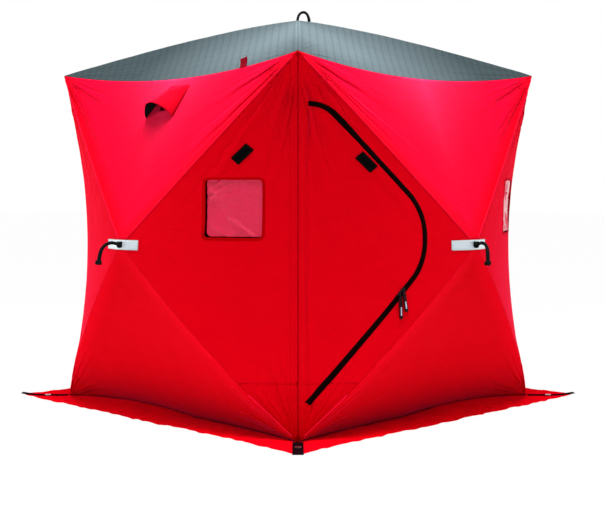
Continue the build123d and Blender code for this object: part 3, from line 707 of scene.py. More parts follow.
class Nodes:
    """A node tree with short ways to add to it; each value is a plain one or another node's output."""

    def __init__(self, tree):
        self.tree = tree

    def put(self, socket, value):
        """Link an output to a socket, or set the socket's own value; a colour is given as three numbers."""
        if isinstance(value, bpy.types.NodeSocket):
            self.tree.links.new(value, socket)
        else:
            socket.default_value = (*value, 1) if socket.type == "RGBA" else value

    def node(self, kind, inputs=None, **settings):
        made = self.tree.nodes.new("ShaderNode" + kind)
        for key, value in settings.items():
            setattr(made, key, value)
        for key, value in (inputs or {}).items():
            self.put(made.inputs[key], value)
        return made

    def math(self, operation, *values):
        return self.node("Math", dict(enumerate(values)), operation=operation).outputs[0]

    def plus(self, a, b):
        return self.math("ADD", a, b)

    def minus(self, a, b):
        return self.math("SUBTRACT", a, b)

    def times(self, a, b):
        return self.math("MULTIPLY", a, b)

    def most(self, a, b):
        return self.math("MAXIMUM", a, b)

    def clamped(self, value):
        """A value held between 0 and 1."""
        return self.math("MINIMUM", self.most(value, 0.0), 1.0)

    def near(self, value, middle, width):
        """1 at a value's middle, fading to 0 a width away on either side."""
        off = self.math("DIVIDE", self.math("ABSOLUTE", self.minus(value, middle)), width)
        return self.most(self.minus(1.0, off), 0.0)

    def parts(self, vector):
        """A vector's three numbers."""
        return self.node("SeparateXYZ", {0: vector}).outputs

    def blend(self, share, first, second, mode="MIX"):
        """A colour mixed from two."""
        inputs = {0: share, 6: first, 7: second}
        return self.node("Mix", inputs, data_type="RGBA", blend_type=mode).outputs[2]

    def noise(self, where, scale, detail=4.0, rough=0.6):
        inputs = {"Vector": where, "Scale": scale, "Detail": detail, "Roughness": rough}
        return self.node("TexNoise", inputs).outputs["Fac"]

    def bands(self, where, pitch, axis, distortion=0.4):
        """Soft bands a pitch apart."""
        inputs = {"Vector": where, "Scale": 0.314 / pitch, "Distortion": distortion, "Detail": 1.0}
        return self.node("TexWave", inputs, bands_direction=axis).outputs["Fac"]

    def bump(self, height, strength=1.0, distance=1.0, over=None):
        """A normal tilted by a height, over another bump's normal where one is given."""
        inputs = {"Height": height, "Strength": strength, "Distance": distance}
        if over is not None:
            inputs["Normal"] = over
        return self.node("Bump", inputs).outputs["Normal"]


class Shade(Nodes):
    """A new material's nodes, with its main shader and its texture's coordinates."""

    def __init__(self, name, coordinates="UV"):
        self.material = bpy.data.materials.new(name)
        self.material.use_nodes = True
        super().__init__(self.material.node_tree)
        self.shader = self.tree.nodes["Principled BSDF"]
        self.where = self.node("TexCoord").outputs[coordinates]

    def finished(self, inputs):
        """The material, once its shader's inputs are set."""
        for key, value in inputs.items():
            self.put(self.shader.inputs[key], value)
        return self.material


def ripstop_threads(made, pitch, paint, fine):
    """Thick threads on the bias: plain ones along the cloth, faint ones across it."""
    inputs = {"Vector": made.where, "Angle": math.pi / 4}
    turned = made.node("VectorRotate", inputs, rotation_type="Z_AXIS").outputs[0]
    for axis, depth in (("X", 0.42), ("Y", 0.05)):
        thin = made.math("POWER", made.bands(turned, pitch, axis, 0.5), 5.0)
        fine = made.plus(fine, made.times(thin, 4 * depth))
        paint = made.blend(made.times(thin, depth), paint, (0.55, 0.6, 0.6), "MULTIPLY")
    return paint, fine


def sewn_seams(made, seam, stitch, paint, fine):
    """Painted shade in each seam's groove as a dark line, a welt along it, and two rows of stitches beside
    them.
    """
    x, y, _ = made.parts(made.where)
    along = made.plus(x, made.times(y, 0.93))
    dash = made.math("GREATER_THAN", made.math("PINGPONG", along, 0.0017), 0.0006)
    rows = made.most(made.near(seam, 0.0035, 0.0009), made.near(seam, 0.0090, 0.0009))
    shown = made.times(rows, dash)
    paint = made.blend(shown, paint, stitch)
    # painted shade: each seam's groove drawn as a dark line
    paint = made.blend(made.near(seam, 0.0, 0.0035), paint, (0.45, 0.45, 0.45), "MULTIPLY")
    welt = made.times(made.near(seam, 0.0, 0.012), 1.4)
    return paint, made.plus(fine, made.plus(welt, made.times(shown, 0.4)))


def painted_shade_and_highlight(made, paint, dark, foot_shade):
    """Painted shade that darkens the foot, a painted highlight on the upper facet that grows towards the
    eave, and painted shade on the lower facet.
    """
    x, y, _ = made.parts(made.where)
    # painted shade: darker towards the foot, for the shade along the wall's bottom
    line = made.plus(y, made.times(made.noise(made.where, 5.0), 0.12))
    foot_shade_share = made.most(made.minus(1.0, made.math("DIVIDE", line, 0.34)), 0.0)
    paint = made.blend(made.times(foot_shade_share, foot_shade), paint, dark, "MULTIPLY")
    aside = made.math("ABSOLUTE", x)
    rise = made.minus(made.minus(y, HUB_HEIGHT), aside)
    sink = made.minus(made.minus(HUB_HEIGHT, y), aside)
    eave_highlight = made.math("POWER", made.most(made.times(rise, 1.18), 0.0), 3.0)
    upper, lower = (made.clamped(made.times(share, 9.0)) for share in (rise, sink))
    # painted highlight: the upper facet pinker, the more so towards the eave
    paint = made.blend(upper, paint, (0.0, 0.0010, 0.0145), "ADD")
    paint = made.blend(eave_highlight, paint, (0.0, 0.028, 0.085), "ADD")
    # painted shade: the lower facet darker and with less pink
    return made.blend(lower, paint, (0.86, 0.4, 0.5), "MULTIPLY")


def painted_roof_shade(made, paint, roof_shade_falloff):
    """Painted shade on a roof: palest near its front left corner and darker with the distance from there.
    """
    inputs = {0: made.where, 1: (-0.34, -0.46, 0)}
    apart = made.node("VectorMath", inputs, operation="DISTANCE").outputs["Value"]
    # painted shade, growing with the distance from the front left corner
    shade = made.clamped(made.times(made.minus(apart, 0.2), roof_shade_falloff))
    return made.blend(shade, paint, (0.30, 0.33, 0.33), "MULTIPLY")


def pulled(made, phase, pull, slack):
    """The bump of the fans' fine folds, and of soft drapes that lie level."""
    turn = made.plus(made.times(phase, 0.85), made.times(made.noise(made.where, 5.0, 2.0), 1.5))
    inputs = {"W": turn, "Scale": 1.0, "Detail": 0.8}
    wave = made.node("TexNoise", inputs, noise_dimensions="1D").outputs["Fac"]
    folds = made.times(made.times(made.minus(wave, 0.5), pull), 9.0)
    level = made.node("VectorMath", {0: made.where, 1: (1.0, 3.2, 1.0)}, operation="MULTIPLY").outputs[0]
    drape = made.plus(made.times(made.noise(made.where, 11.0, 3.0, 0.5), 0.0050 * slack),
                      made.times(made.noise(level, 9.0, 4.0, 0.55), 0.0022 * slack))
    return made.bump(made.plus(folds, drape))


def fabric(name, colour, dark, thread=0.0012, weave=0.25, rough=0.75, specular=0.03, gloss_tint=(1, 1, 1),
           sheen=0.0, tint=(1, 1, 1), mottle=0.4, slack=1.0, coordinates="UV", ripstop=0.0, stitch=None,
           foot_shade=0.0, roof_shade_falloff=0.0):
    """Woven cloth: threads, slack crumples and pull folds, and ripstop, seams, painted shade and painted
    highlights where asked for.
    """
    made = Shade(name, coordinates)
    where, plus, times = made.where, made.plus, made.times
    seam, phase, pull = made.parts(made.node("Attribute", attribute_name="marks").outputs["Vector"])
    blotch = plus(made.noise(where, 9.0, 5.0), times(made.noise(where, 190.0, 2.0), 0.6))
    paint = made.blend(times(blotch, mottle), colour, dark)
    threads = made.most(made.bands(where, thread, "X"), made.bands(where, thread, "Y"))
    crumple = made.noise(where, 24.0, 6.0, 0.65)
    fine = plus(times(threads, weave), times(crumple, 2.4 * slack))
    if ripstop:
        paint, fine = ripstop_threads(made, ripstop, paint, fine)
    if stitch:
        paint, fine = sewn_seams(made, seam, stitch, paint, fine)
    if foot_shade:
        paint = painted_shade_and_highlight(made, paint, dark, foot_shade)
    if roof_shade_falloff:
        paint = painted_roof_shade(made, paint, roof_shade_falloff)
    return made.finished({
        "Base Color": paint, "Roughness": plus(times(crumple, 0.14), rough - 0.07),
        "Normal": made.bump(fine, 0.35, 0.0008, pulled(made, phase, pull, slack)),
        "Specular IOR Level": specular, "Specular Tint": gloss_tint,
        "Sheen Weight": sheen, "Sheen Roughness": 0.4, "Sheen Tint": tint})


def moulded(name, colour, rough=0.5, metallic=0.0, specular=0.3):
    """Moulded plastic, drawn rod or metal: a fine grain, and a colour and roughness that wander."""
    made = Shade(name, "Object")
    broad = made.noise(made.where, 30.0, 3.0)
    return made.finished({
        "Base Color": made.blend(broad, colour, [0.7 * c for c in colour]),
        "Roughness": made.plus(made.times(broad, 0.2), rough - 0.1),
        "Normal": made.bump(made.noise(made.where, 300.0), 0.15, 0.0005),
        "Metallic": metallic, "Specular IOR Level": specular})


def vinyl(name):
    """Flexible window sheet: slightly see-through, tinted and scuffed, with a wavy gloss."""
    made = Shade(name)
    scuff = made.noise(made.where, 60.0, 8.0, 0.75)
    height = made.plus(made.times(made.noise(made.where, 22.0, 5.0), 0.018), made.times(scuff, 0.0022))
    return made.finished({
        "Base Color": made.blend(scuff, (0.74, 0.0, 0.022), (0.94, 0.004, 0.10)),
        "Roughness": made.plus(made.times(scuff, 0.2), 0.12), "Normal": made.bump(height),
        "Alpha": 0.93, "Specular IOR Level": 0.16,
        "Coat Weight": 0.7, "Coat IOR": 1.4, "Coat Roughness": 0.12})


def teeth(name):
    """Zip tape with its coil: teeth across the middle line, a plain weave beside it."""
    made = Shade(name)
    coil = made.plus(made.bands(made.where, 0.0022, "X", 0.0), made.bands(made.where, 0.001, "Y"))
    paint = made.blend(made.noise(made.where, 12.0), (0.003, 0.0006, 0.0006), (0.007, 0.0015, 0.0015))
    return made.finished({"Base Color": paint, "Normal": made.bump(coil, 0.6, 0.001), "Roughness": 0.7,
                          "Specular IOR Level": 0.01})


SHEEN = (0.90, 0.09, 0.42)
BAND = {"thread": 0.0022, "weave": 1.2, "slack": 0.5, "specular": 0.0}
red = fabric("shell red", (0.79, 0.0003, 0.0065), (0.62, 0.0, 0.003), rough=0.7, specular=0.006,
             gloss_tint=(1.0, 0.12, 0.9), sheen=0.12, tint=SHEEN, stitch=(0.55, 0.0, 0.004), foot_shade=0.9)
# real piping, its lighter and pinker red partly a painted highlight along the ridges
piping = fabric("ridge piping", (0.92, 0.006, 0.036), (0.74, 0.001, 0.012), thread=0.0016, specular=0.006,
                sheen=0.2, tint=SHEEN, slack=0.4)
# painted light: a lighter copy of the shell's red, brighter than the lamps alone would show the skirt
skirt_red = fabric("skirt red", (0.92, 0.0006, 0.006), (0.72, 0.0, 0.004), thread=0.0014, specular=0.0,
                   sheen=0.03, tint=SHEEN, mottle=0.6, slack=1.5)
hood_red = fabric("hood red", (0.80, 0.003, 0.020), (0.66, 0.0, 0.010), specular=0.008, sheen=0.2,
                  tint=SHEEN, slack=1.6, stitch=(0.60, 0.0, 0.010))
cover_red = fabric("window cover", (0.60, 0.001, 0.020), (0.44, 0.0, 0.014), specular=0.0, mottle=0.6)
label_red = fabric("label", (0.30, 0.002, 0.012), (0.20, 0.001, 0.010), thread=0.0008,
                   stitch=(0.5, 0.02, 0.04))
# the roof grey carries painted shade that falls off from the front left corner
grey = fabric("roof grey", (0.108, 0.138, 0.142), (0.078, 0.101, 0.105), rough=0.6, specular=0.02,
              sheen=0.02, tint=(0.8, 1, 1), ripstop=0.038, stitch=(0.20, 0.27, 0.28), roof_shade_falloff=1.35)
lining = fabric("lining", (0.012, 0.011, 0.012), (0.007, 0.006, 0.007), thread=0.002, specular=0.0,
                mottle=0.6)
webbing = fabric("webbing", (0.0018, 0.002, 0.002), (0.004, 0.0045, 0.0045), stitch=(0.012, 0.012, 0.013),
                 **BAND)
strap_black = fabric("strap webbing", (0.008, 0.002, 0.003), (0.016, 0.004, 0.006), **BAND)
reflective = fabric("reflective tape", (0.70, 0.77, 0.78), (0.58, 0.645, 0.65), thread=0.004, weave=1.4,
                    rough=0.4, specular=0.3, mottle=0.7, slack=0.4, stitch=(0.25, 0.27, 0.27))
cord_black = fabric("rope black", (0.003, 0.004, 0.004), (0.010, 0.012, 0.012), thread=0.0045, weave=3.0,
                    coordinates="Object")
zip_black, pane = teeth("zip tape"), vinyl("window vinyl")
hub_black = moulded("hub plastic", (0.012, 0.012, 0.014), 0.45)
rod_black = moulded("glass fibre", (0.02, 0.02, 0.022), 0.3)
slider_black = moulded("slider plastic", (0.008, 0.006, 0.007), 0.4, specular=0.1)
pull_dark = moulded("pull tab", (0.016, 0.002, 0.004), 0.45, specular=0.05)
pull_light = moulded("pull tab strip", (0.62, 0.60, 0.74), 0.4)
steel = moulded("grommet metal", (0.55, 0.56, 0.58), 0.28, metallic=1.0)


# ---- fabric faces ----

door_line, free_edge, window_line = door_outline(), door_free_edge(), window_outline()
vent_line = spaced(rounded(box_tips(0.120, 0.080), [0.014] * 4, 0.004)) + (
    VENT_SIDE - VENT_LEAN / 2, (VENT_TOP + VENT_BOTTOM) / 2)


def give(made, slot, *nodes, body="shelter"):
    """Put a piece on a body and hide the model's nodes that it stands for; its slot is not used."""
    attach(made, body)
    if nodes:
        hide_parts(*nodes)
    return made


def wall_cloth(side, outline, holes, lines):
    """A wall's face or the door's, as the parts of a mesh, its foot raised off the ground."""
    flat, faces = net_plane(outline, holes, [*lines, *seam_lines()])
    world = on_face(WALL, stand(side), folds_of(side), flat)
    world[:, 2] += hem_rise(side, flat[:, 0]) * np.clip(1 - (flat[:, 1] - FOOT_Z) / HEM_REACH, 0, 1) ** 2
    edges = [window_line] + ([free_edge] if side == "front" else [])
    marks = places(seam_distance(flat, False, edges), *fine_folds(flat))
    return Mesh().cloth(flat, faces, world, outward_of(stand(side)), marks=marks)


def kept_runs(line, keep):
    """The runs of a line whose points are all kept."""
    cuts = np.flatnonzero(np.diff(keep.astype(int))) + 1
    parts = zip(np.split(line, cuts), np.split(keep, cuts))
    return [part for part, kept in parts if kept[0] and len(part) > 2]


def build_welts(side):
    """Piping along the upper ridges and at the foot of the lower ones, parted where the door opens."""
    shelter_runs, door_runs = [], []
    for number, line in enumerate(WALL.ridge_lines()[::2]):
        line = line[3:] if number > 1 else line[3:len(line) // 4]
        on_door = inside(line, door_line) & (side == "front")
        crowd = np.convolve(on_door, np.ones(WELT_CLEAR), "same")
        shelter_runs += kept_runs(line, crowd == 0)
        door_runs += kept_runs(line, crowd == WELT_CLEAR)
    for name, body, runs in ((side, "shelter", shelter_runs), ("door", "door", door_runs)):
        welts = Mesh()
        for line in runs:
            ribbon(welts, side, line, WELT)
        if runs:
            give(welts.build(name + "_ridge_welts", [piping]), "shell_fabric", body=body)


def build_wall(side):
    """A wall's shell, its window sheet and the cover behind it, the window's hem and the piping."""
    holes = [window_line] + ([door_line] if side == "front" else [])
    holes += [vent_line] if side in VENTED else []
    shell = wall_cloth(side, WALL.outline(), holes, WALL.ridge_lines())
    shell = shell.build(side + "_shell", [red, lining])
    give(shell, "shell_fabric", side + "_wall")
    shifted = window_outline(PANE_LAP) + COVER_SHIFT
    sheet = face_piece(Mesh(), side, pane_folds, shifted, PANE_LIFT, PANE_THICK, 0.005, (0, 0))
    give(sheet.build(side + "_pane", [pane]), "window_vinyl", side + "_window")
    cover = face_piece(Mesh(), side, pane_folds, shifted, COVER_LIFT, COVER_THICK, 0.008)
    give(cover.build(side + "_window_cover", [cover_red, lining]), "shell_fabric")
    hem = ribbon(Mesh(), side, window_outline(HEM_LAP), WINDOW_HEM, True)
    give(hem.build(side + "_window_hem", [red]), "shell_fabric")
    build_welts(side)


def build_roof():
    flat, faces = net_plane(ROOF.outline(), [], ROOF.ridge_lines())
    marks = places(seam_distance(flat, True), *fine_folds(flat, True))
    world = on_face(ROOF, lie, roof_folds, flat)
    made = Mesh().cloth(flat, faces, world, (0, 0, 1), marks=marks).build("roof_shell", [grey, lining])
    give(made, "roof_fabric", "roof")


for side in SIDES:
    build_wall(side)
build_roof()


# ---- door ----

def fold_place(inset):
    """A place beside the door's fold, in the hut."""
    at = np.array([[seam_side(FOLD_HEIGHT, DOOR_STILE + inset), FOLD_HEIGHT]])
    return stand("front")(places(at[:, 0], at[:, 1], WALL.height(at)))[0]


def hinged(made, slot, *nodes):
    """Bake a piece's place into its mesh and hide the model's nodes that it stands for; its slot is not
    used.
    """
    fold_place(0.0)
    fold_place(0.05)
    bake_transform(made)
    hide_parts(*nodes)


def build_door():
    """The door's cloth and the zip's two tapes, the wall's and the door's, along the free edge."""
    door = wall_cloth("front", door_line, [], []).build("door_flap", [red, lining])
    hinged(door, "shell_fabric", "door_panel")
    wall_tape = ribbon(Mesh(), "front", free_edge, WALL_TAPE)
    give(wall_tape.build("wall_zip_tape", [zip_black]), "zip_tape", "wall_zip")
    door_tape = ribbon(Mesh(), "front", free_edge, DOOR_TAPE)
    hinged(door_tape.build("door_zip_tape", [zip_black]), "zip_tape", "door_zip")


build_door()


# ---- sewn-on trim ----

def turned_box(middle, angle, long, wide, corner=0.004):
    """A rounded rectangle in a face's plane."""
    c, s = math.cos(angle), math.sin(angle)
    tips = [(x * c - y * s + middle[0], x * s + y * c + middle[1]) for x, y in box_tips(long, wide)]
    return spaced(rounded(tips, [corner] * 4, 0.002), 0.004)


def ridge_patch(sign, down, inset):
    """A patch beside an upper ridge, on the facet towards the left (-1) or right (1) corner."""
    run = unit(np.array([-EAVE_HALF, HUB_HEIGHT - EAVE_HEIGHT]))
    place = np.array([EAVE_HALF, EAVE_HEIGHT]) + run * down + np.array([-run[1], run[0]]) * inset
    angle = sign * math.atan2(run[1], run[0])
    return turned_box((sign * place[0], place[1]), angle, PATCH_LONG, PATCH_WIDE)


def trim(mesh, side, outline, lift=LAID, thick=0.0012):
    return face_piece(mesh, side, folds_of(side), outline, lift, thick, index=(0, 0))


PATCH, DOOR_PATCH = ridge_patch(1, 0.517, 0.128), ridge_patch(-1, 0.583, 0.114)
PATCH_SEWN = (LAID + 0.0012, 0.0020)     # how far a patch is off the shell, and its thickness
STRIP = turned_box((STRIP_SHIFT, HUB_HEIGHT), 0, 2 * STRIP_REACH, STRIP_TALL, 0.002)
patches, strips = Mesh(), Mesh()
for side, outline in (("left", PATCH), ("right", PATCH), ("back", DOOR_PATCH)):
    trim(patches, side, outline, *PATCH_SEWN)
give(patches.build("ridge_patch_cloths", [webbing]), "patch_webbing", "ridge_patches")
patch = trim(Mesh(), "front", DOOR_PATCH, *PATCH_SEWN).build("door_patch_cloth", [webbing])
give(patch, "patch_webbing", "door_patch", body="door")
for side in SIDES:
    trim(strips, side, STRIP)
give(strips.build("strip_tapes", [reflective]), "reflective_tape", "reflective_strips")


# ---- vents and the eave's tab ----

def build_vent(side):
    """A hood that leans down from its sewn head to an arched mouth, creased where it is gathered."""
    rows, columns = 28, 44
    t, s = shares(rows, columns)
    middle = VENT_SIDE - VENT_LEAN * t
    half = lerp(VENT_HEAD / 2, VENT_MOUTH / 2, t)
    up = lerp(VENT_TOP, VENT_BOTTOM, t)

    def foot(sign):
        flat = places(middle + sign * half, up)
        return (WALL.height(flat) + folds_of(side)(flat)).reshape(t.shape) + 0.001

    arch = (4 * s * (1 - s)) ** 0.78
    gather = 0.006 * np.sin(9.5 * s + 5 * t) * np.exp(-((t - 0.15) / 0.3) ** 2)
    gather = gather + 0.0025 * np.sin(17 * s - 4 * t)
    stiff = 0.0035 * np.exp(-((t - 0.93) / 0.035) ** 2)
    out = lerp(foot(-1), foot(1), s) + arch * (VENT_STAND * t ** 0.55 + gather + stiff)
    across = middle + (2 * s - 1) * half
    world = stand(side)(places(across, up + arch * VENT_ARCH * t, out))
    edge = np.minimum((1 - t) * VENT_ARCH * 2, np.minimum(s, 1 - s) * VENT_HEAD)
    hood = Mesh().cloth(places(across, up), grid_faces(rows, columns), world, outward_of(stand(side)),
                        0.0018, edge_marks(edge.ravel()))
    give(hood.build(side + "_vent_hood", [hood_red, lining]), "shell_fabric", side + "_vent")


def build_tab():
    """The label's tab, standing up from the left eave."""
    low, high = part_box("roof_tab")
    count = 10
    t, s = shares(count, count)
    y = lerp(low.y - 0.022, high.y - 0.014, s)
    bow = 1 - (y / EAVE_HALF) ** 2
    points = places(EAVE_DRAW * bow - EAVE_HALF - 0.001 + 0.004 * np.sin(3 * t), y - 0.004 * t,
                    EAVE_HEIGHT - EAVE_SAG * bow + TAB_RISE * t * (1.0 - 0.12 * s))
    tab = Mesh().cloth(places(y, TAB_RISE * t), grid_faces(count, count), points, (-1, 0, 0), 0.0016,
                       index=(0, 0))
    give(tab.build("roof_label", [label_red]), "label_fabric", "roof_tab")


for side in VENTED:
    build_vent(side)
build_tab()


# ---- skirt and its corner straps ----

def tip_curl(side, share):
    """How far a skirt's tip curls up; the front left one lies flat under its strap."""
    return (0.0 if side == "front" else SKIRT_CURL) * np.clip((share - 0.55) / 0.45, 0, 1) ** 2


def build_skirt(side, seed):
    """A wall's skirt: slack waves, a ragged outer edge and curled tips, and flat under its straps."""
    following = list(SIDES)[(list(SIDES).index(side) + 1) % len(SIDES)]
    rows, columns = 16, 170
    share, x = shares(rows, columns)
    x = 2 * x - 1
    across = x * lerp(BASE_HALF, SKIRT_TIP, share)
    out = lerp(BASE_HALF - HEM_DRAW * (1 - x ** 2), SKIRT_TIP, share)
    still = np.clip((1 - np.abs(x) - 0.045) / 0.10, 0, 1)
    plane = places(across, out.ravel() + seed)
    waves = (0.0030 * grain(plane, 0.10, 51) + 0.0024 * grain(plane, 0.04, 52) + 0.003).reshape(x.shape)
    ragged = np.abs(0.005 * grain(places(across[0] * 1.1, x[0] * 0), 0.05, seed + 5)) * share ** 2
    up = waves * (0.5 + 0.8 * share) * still
    curl = np.where(x < 0, tip_curl(side, share), tip_curl(following, share)) * np.abs(x) ** 14
    z = 0.003 + np.maximum(up, 0) + hem_rise(side, across) * (1 - share) ** 2.2 + curl
    world = stand(side)(places(across, z, out - ragged * still))
    made = Mesh().cloth(plane, grid_faces(rows, columns), world, (0, 0, 1), 0.0015, index=(0, 0))
    made = made.build(side + "_apron", [skirt_red])
    give(made, "skirt_fabric", side + "_skirt")


def strap_place(side, flat, z):
    """Places in the hut of a strap's (along, across) ones, outwards from a corner of a wall's foot."""
    corner = flat @ np.array([[-1, 1], [1, 1]]) / 2 ** 0.5 + (-BASE_HALF, BASE_HALF)
    return stand(side)(places(corner[:, 0], z, corner[:, 1]))


def build_strap(straps, side):
    """A corner's strap, open at the grommet's eye, with a dark disc below the eye as painted shade inside
    the hole.
    """
    run = (SKIRT_TIP - BASE_HALF) * 2 ** 0.5
    turn = np.linspace(0, 2 * math.pi, 25)[:-1]
    eye = places(np.cos(turn), np.sin(turn)) * EYE_RADIUS
    outline = turned_box(((STRAP_START + run) / 2, 0), 0, run - STRAP_START, STRAP_WIDE, 0.003)
    flat, faces = net_plane(outline, [eye + (GROMMET_AT, 0)], (), FINE)
    along = flat[:, 0]
    drop = 0.0012 * np.clip((along - run + 0.010) / 0.010, 0, 1) ** 2
    z = 0.0047 + tip_curl(side, np.clip(along / run, 0, 1)) * 1.02 - drop + 0.0004 * np.sin(along * 90)
    marks = edge_marks(line_distance(flat, outline))
    straps.cloth(flat, faces, strap_place(side, flat, z), (0, 0, 1), 0.0016, marks, (0, 0))
    # painted shade: a dark disc under the eye, where the hole lies in shadow
    under = strap_place(side, eye * 1.3 + (GROMMET_AT, 0), np.full(len(eye), 0.0052))
    straps.add(under, [tuple(range(len(eye)))], [0], eye)


straps = Mesh()
for number, side in enumerate(SIDES):
    build_skirt(side, 5 + number)
    build_strap(straps, side)
give(straps.build("corner_strap_webs", [strap_black]), "strap_webbing", "corner_straps")


# ---- zip sliders and their pulls ----

def block(mesh, start, ways, sizes, index):
    """A box from the middle of its near end, along three ways."""
    a, b, c = (way * size for way, size in zip(ways, sizes))
    corners = [start + k * a + (j - 0.5) * b + (i - 0.5) * c
               for i in (0, 1) for j in (0, 1) for k in (0, 1)]
    faces = [(0, 1, 3, 2), (4, 6, 7, 5), (0, 4, 5, 1), (2, 3, 7, 6), (0, 2, 6, 4), (1, 5, 7, 3)]
    mesh.add(np.array(corners), faces, [index] * 6, np.zeros((8, 2)))


def build_slider(mesh, step, drop, turn):
    """A slider on the door's tape, with a webbing pull that hangs from it."""
    run = unit(free_edge[8] - free_edge[0])
    inwards = np.array([-run[1], run[0]])
    flat = free_edge[0] + run * (SLIDER_ALONG + step * 0.012) + inwards * (DOOR_GAP + ZIP_WIDTH / 2)

    def on_wall(place, lift):
        return on_face(WALL, stand("front"), folds_of("front"), place[None], lift)[0]

    middle = on_wall(flat, 0.0075)
    ahead = unit(on_wall(flat + run * 0.01, 0.0075) - middle)
    out = unit(np.array([0, -1, 0]) - ahead * -ahead[1])
    body = (ahead, np.cross(ahead, out), out)
    block(mesh, middle - ahead * 0.011 - out * 0.0025, body, (0.022, 0.013, 0.006), 0)
    block(mesh, middle - ahead * 0.006 + out * 0.0020, body, (0.012, 0.005, 0.005), 0)
    top = middle + out * 0.004
    fall = on_wall(flat + (turn * drop, -drop), 0.0095) - top
    length, down = np.linalg.norm(fall), unit(fall)
    across = unit(np.cross(down, out))
    face = np.cross(across, down)
    face = face * np.sign(face @ out)
    pull = (down, across, face)
    block(mesh, top, pull, (0.016, 0.006, 0.004), 0)
    block(mesh, top + down * 0.014, pull, (length - 0.014, 0.018, 0.0050), 1)
    block(mesh, top + down * (length * 0.52) + face * 0.0028, pull, (length * 0.34, 0.0065, 0.0016), 2)


sliders = Mesh()
for step, drop, turn in ((-1, 0.115, -0.05), (1, 0.100, 0.06)):
    build_slider(sliders, step, drop, turn)
sliders = sliders.build("slider_pair", [slider_black, pull_dark, pull_light], False)
bevel = sliders.modifiers.new("edges", "BEVEL")
bevel.width, bevel.segments = 0.0007, 2
give(sliders, "slider_plastic", "zip_sliders", body="door")


# ---- ropes ----

ROPE_WIDE, LOOP_WIDE = 0.017, 0.015
WALL_ROPE = [(0, 0), (.026, .006), (.056, .013), (.088, -.002), (.103, -.038), (.106, -.086)]
ROPE_ASIDE = (0, -.003, -.010, -.022, -.033, -.038)     # the ropes lean a little to the left
ROPE_LUMPS = (1.0, 0.86, 1.0, 0.92, 1.18, 1.12)
ROOF_LOOP = [(0, 0), (.002, .034), (.034, .054), (.060, .032), (.064, -.001)]
KNOT, KNOT_THICK, END_KNOT, END_THICK = 0.0115, 0.0066, 0.0105, 0.0072
LEVEL, UPRIGHT = ((1, 0, 0), (0, 1, 0), (0, 0, 1)), ((1, 0, 0), (0, 0, -1), (0, 1, 0))


def rope_curve(name, points, width):
    data = bpy.data.curves.new(name, "CURVE")
    data.dimensions = "3D"
    data.bevel_depth = width / 2
    data.bevel_resolution = 4
    data.use_fill_caps = True
    spline = data.splines.new("NURBS")
    spline.points.add(len(points) - 1)
    for point, place, lump in zip(spline.points, points, ROPE_LUMPS):
        point.co = (*place, 1)
        point.radius = lump
    spline.order_u = 3
    spline.use_endpoint_u = True
    spline.resolution_u = 12
    data.materials.append(cord_black)
    return placed(name, data)


def knot(name, middle, size, turn, thick):
    """An overhand knot: a tube along a trefoil."""
    count, ring = 72, 10
    a, b = (np.linspace(0, 2 * math.pi, n + 1)[:-1] for n in (count, ring))
    line = places(np.sin(a) + 2 * np.sin(2 * a), np.cos(a) - 2 * np.cos(2 * a), -1.4 * np.sin(3 * a))
    line = line * size / 3 @ np.array(turn, float).T
    ahead = unit(np.roll(line, -1, 0) - np.roll(line, 1, 0))
    side = unit(np.cross(ahead, line + (0.001, 0.002, 0.003)))
    up = np.cross(ahead, side)
    tube = line[:, None] + thick * (np.cos(b)[:, None] * side[:, None] + np.sin(b)[:, None] * up[:, None])
    faces = [(i * ring + j, i * ring + (j + 1) % ring, (i + 1) % count * ring + (j + 1) % ring,
              (i + 1) % count * ring + j) for i in range(count) for j in range(ring)]
    made = Mesh().add(tube.reshape(-1, 3) + middle, faces, [0] * len(faces), np.zeros((count * ring, 2)))
    return give(made.build(name, [cord_black]), "rope")


for side in SIDES:
    low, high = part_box(side + "_pull_rope")
    reach = max(-low.x, high.x) if side in VENTED else max(-low.y, high.y)
    start = reach - WALL_ROPE[-1][0] - END_KNOT
    route = stand(side)(np.array([(aside, HUB_HEIGHT + rise, start + out)
                                  for aside, (out, rise) in zip(ROPE_ASIDE, WALL_ROPE)]))
    tail = rope_curve(side + "_rope", route, ROPE_WIDE)
    give(tail, "rope", side + "_pull_rope")
    pieces = [knot(side + "_rope_knot", lerp(route[0], route[1], 0.42), KNOT, UPRIGHT, KNOT_THICK),
              knot(side + "_rope_end", lerp(route[-1], route[-2], 0.08), END_KNOT, LEVEL, END_THICK)]
    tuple(route[0])
low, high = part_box("roof_pull_rope")
way = np.array([1, -1, 0]) / 2 ** 0.5
route = [way * (across - 0.003) + np.array([0, 0, low.z + 0.001 + rise]) for across, rise in ROOF_LOOP]
loop = rope_curve("roof_rope", route, LOOP_WIDE)
give(loop, "rope", "roof_pull_rope")
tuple(route[0])


# ---- the model's own pieces, finished ----

FINISHES = {"_hub": hub_black, "pole_feet": hub_black, "top_joints": hub_black, "_poles": rod_black,
            "grommets": steel}
for name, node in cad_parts.items():
    for ending, finish in FINISHES.items():
        if name.endswith(ending):
            node.data.materials.clear()
            node.data.materials.append(finish)


# ---- stage, lights and camera ----

FLOOR_WIDE = 80


def over_white(nodes, shader, kind, plain, end):
    """Draw a surface plain white for the camera and for what mirrors or shows through it."""
    path = nodes.node("LightPath").outputs
    seen = nodes.most(nodes.most(path["Is Camera Ray"], path["Is Glossy Ray"]), path["Is Transmission Ray"])
    white = nodes.node(kind, {"Color": (1, 1, 1), "Strength": 1.0})
    mix = nodes.node("MixShader", {0: nodes.times(seen, plain), 1: shader.outputs[0], 2: white.outputs[0]})
    nodes.put(nodes.tree.nodes[end].inputs["Surface"], mix.outputs[0])


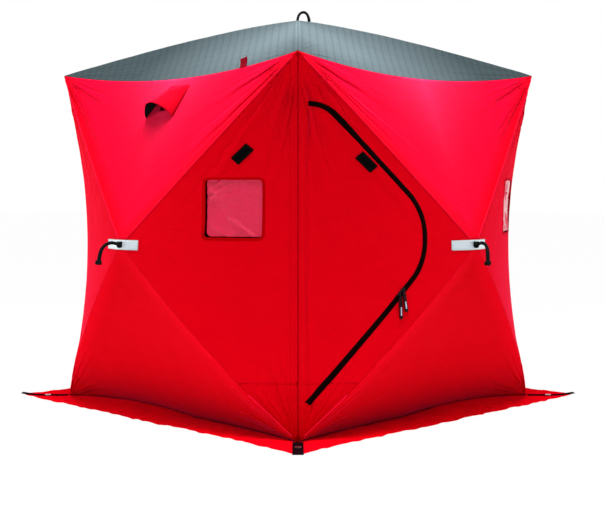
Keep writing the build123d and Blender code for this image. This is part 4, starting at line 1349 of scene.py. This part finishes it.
def build_stage():
    """A wide floor that looks white and still takes part in the light, and a sky to match."""
    corners = [(x, y, 0) for x, y in box_tips(FLOOR_WIDE, FLOOR_WIDE)]
    mesh = bpy.data.meshes.new("floor")
    mesh.from_pydata(corners, [], [(0, 1, 2, 3)])
    ground = Shade("floor")
    mesh.materials.append(ground.finished({
        "Base Color": (0.72, 0.72, 0.74), "Emission Color": (1, 1, 1), "Emission Strength": 0.42,
        "Roughness": 0.95, "Specular IOR Level": 0.0}))
    over_white(ground, ground.shader, "Emission", 0.97, "Material Output")
    placed("floor", mesh)

    world = bpy.data.worlds.new("studio")
    bpy.context.scene.world = world
    world.use_nodes = True
    sky = Nodes(world.node_tree)
    glow = sky.node("Background", {"Color": (0.88, 0.92, 1.0), "Strength": 0.12})
    over_white(sky, glow, "Background", 1.0, "World Output")


def lamp(name, place, aim, size, power, colour=(1, 1, 1)):
    data = bpy.data.lights.new(name, "AREA")
    data.shape = "SQUARE"
    data.size = size
    data.energy = power
    data.color = colour
    made = placed(name, data)
    made.location = place
    made.rotation_euler = (Vector(aim) - Vector(place)).to_track_quat("-Z", "Y").to_euler()


build_stage()
lamp("overhead", (-1.0, -1.0, 5.6), (-0.2, -0.2, 1.2), 3.0, 570, (0.9, 0.93, 1.0))
lamp("left", (-4.6, 6.0, 2.0), (-0.8, 0.2, 0.6), 2.0, 285)
lamp("right", (6.0, -4.6, 2.0), (0.2, -0.8, 0.6), 2.0, 210)

EYE, PITCH = Vector((-4.7935, -4.7935, 1.152)), 0.0546     # the camera looks a little down at the corner
SENSOR, LENS, SHIFT = 36, 73.9, 0.0066225
camera_data = bpy.data.cameras.new("camera")
camera_data.sensor_width = SENSOR
camera_data.lens = LENS
camera_data.shift_x = SHIFT
camera = placed("camera", camera_data)
camera.location = EYE
look = Vector((math.cos(PITCH) / 2 ** 0.5, math.cos(PITCH) / 2 ** 0.5, -math.sin(PITCH)))
camera.rotation_euler = look.to_track_quat("-Z", "Y").to_euler()
bpy.context.scene.camera = camera
bpy.context.scene.view_settings.view_transform = "Standard"
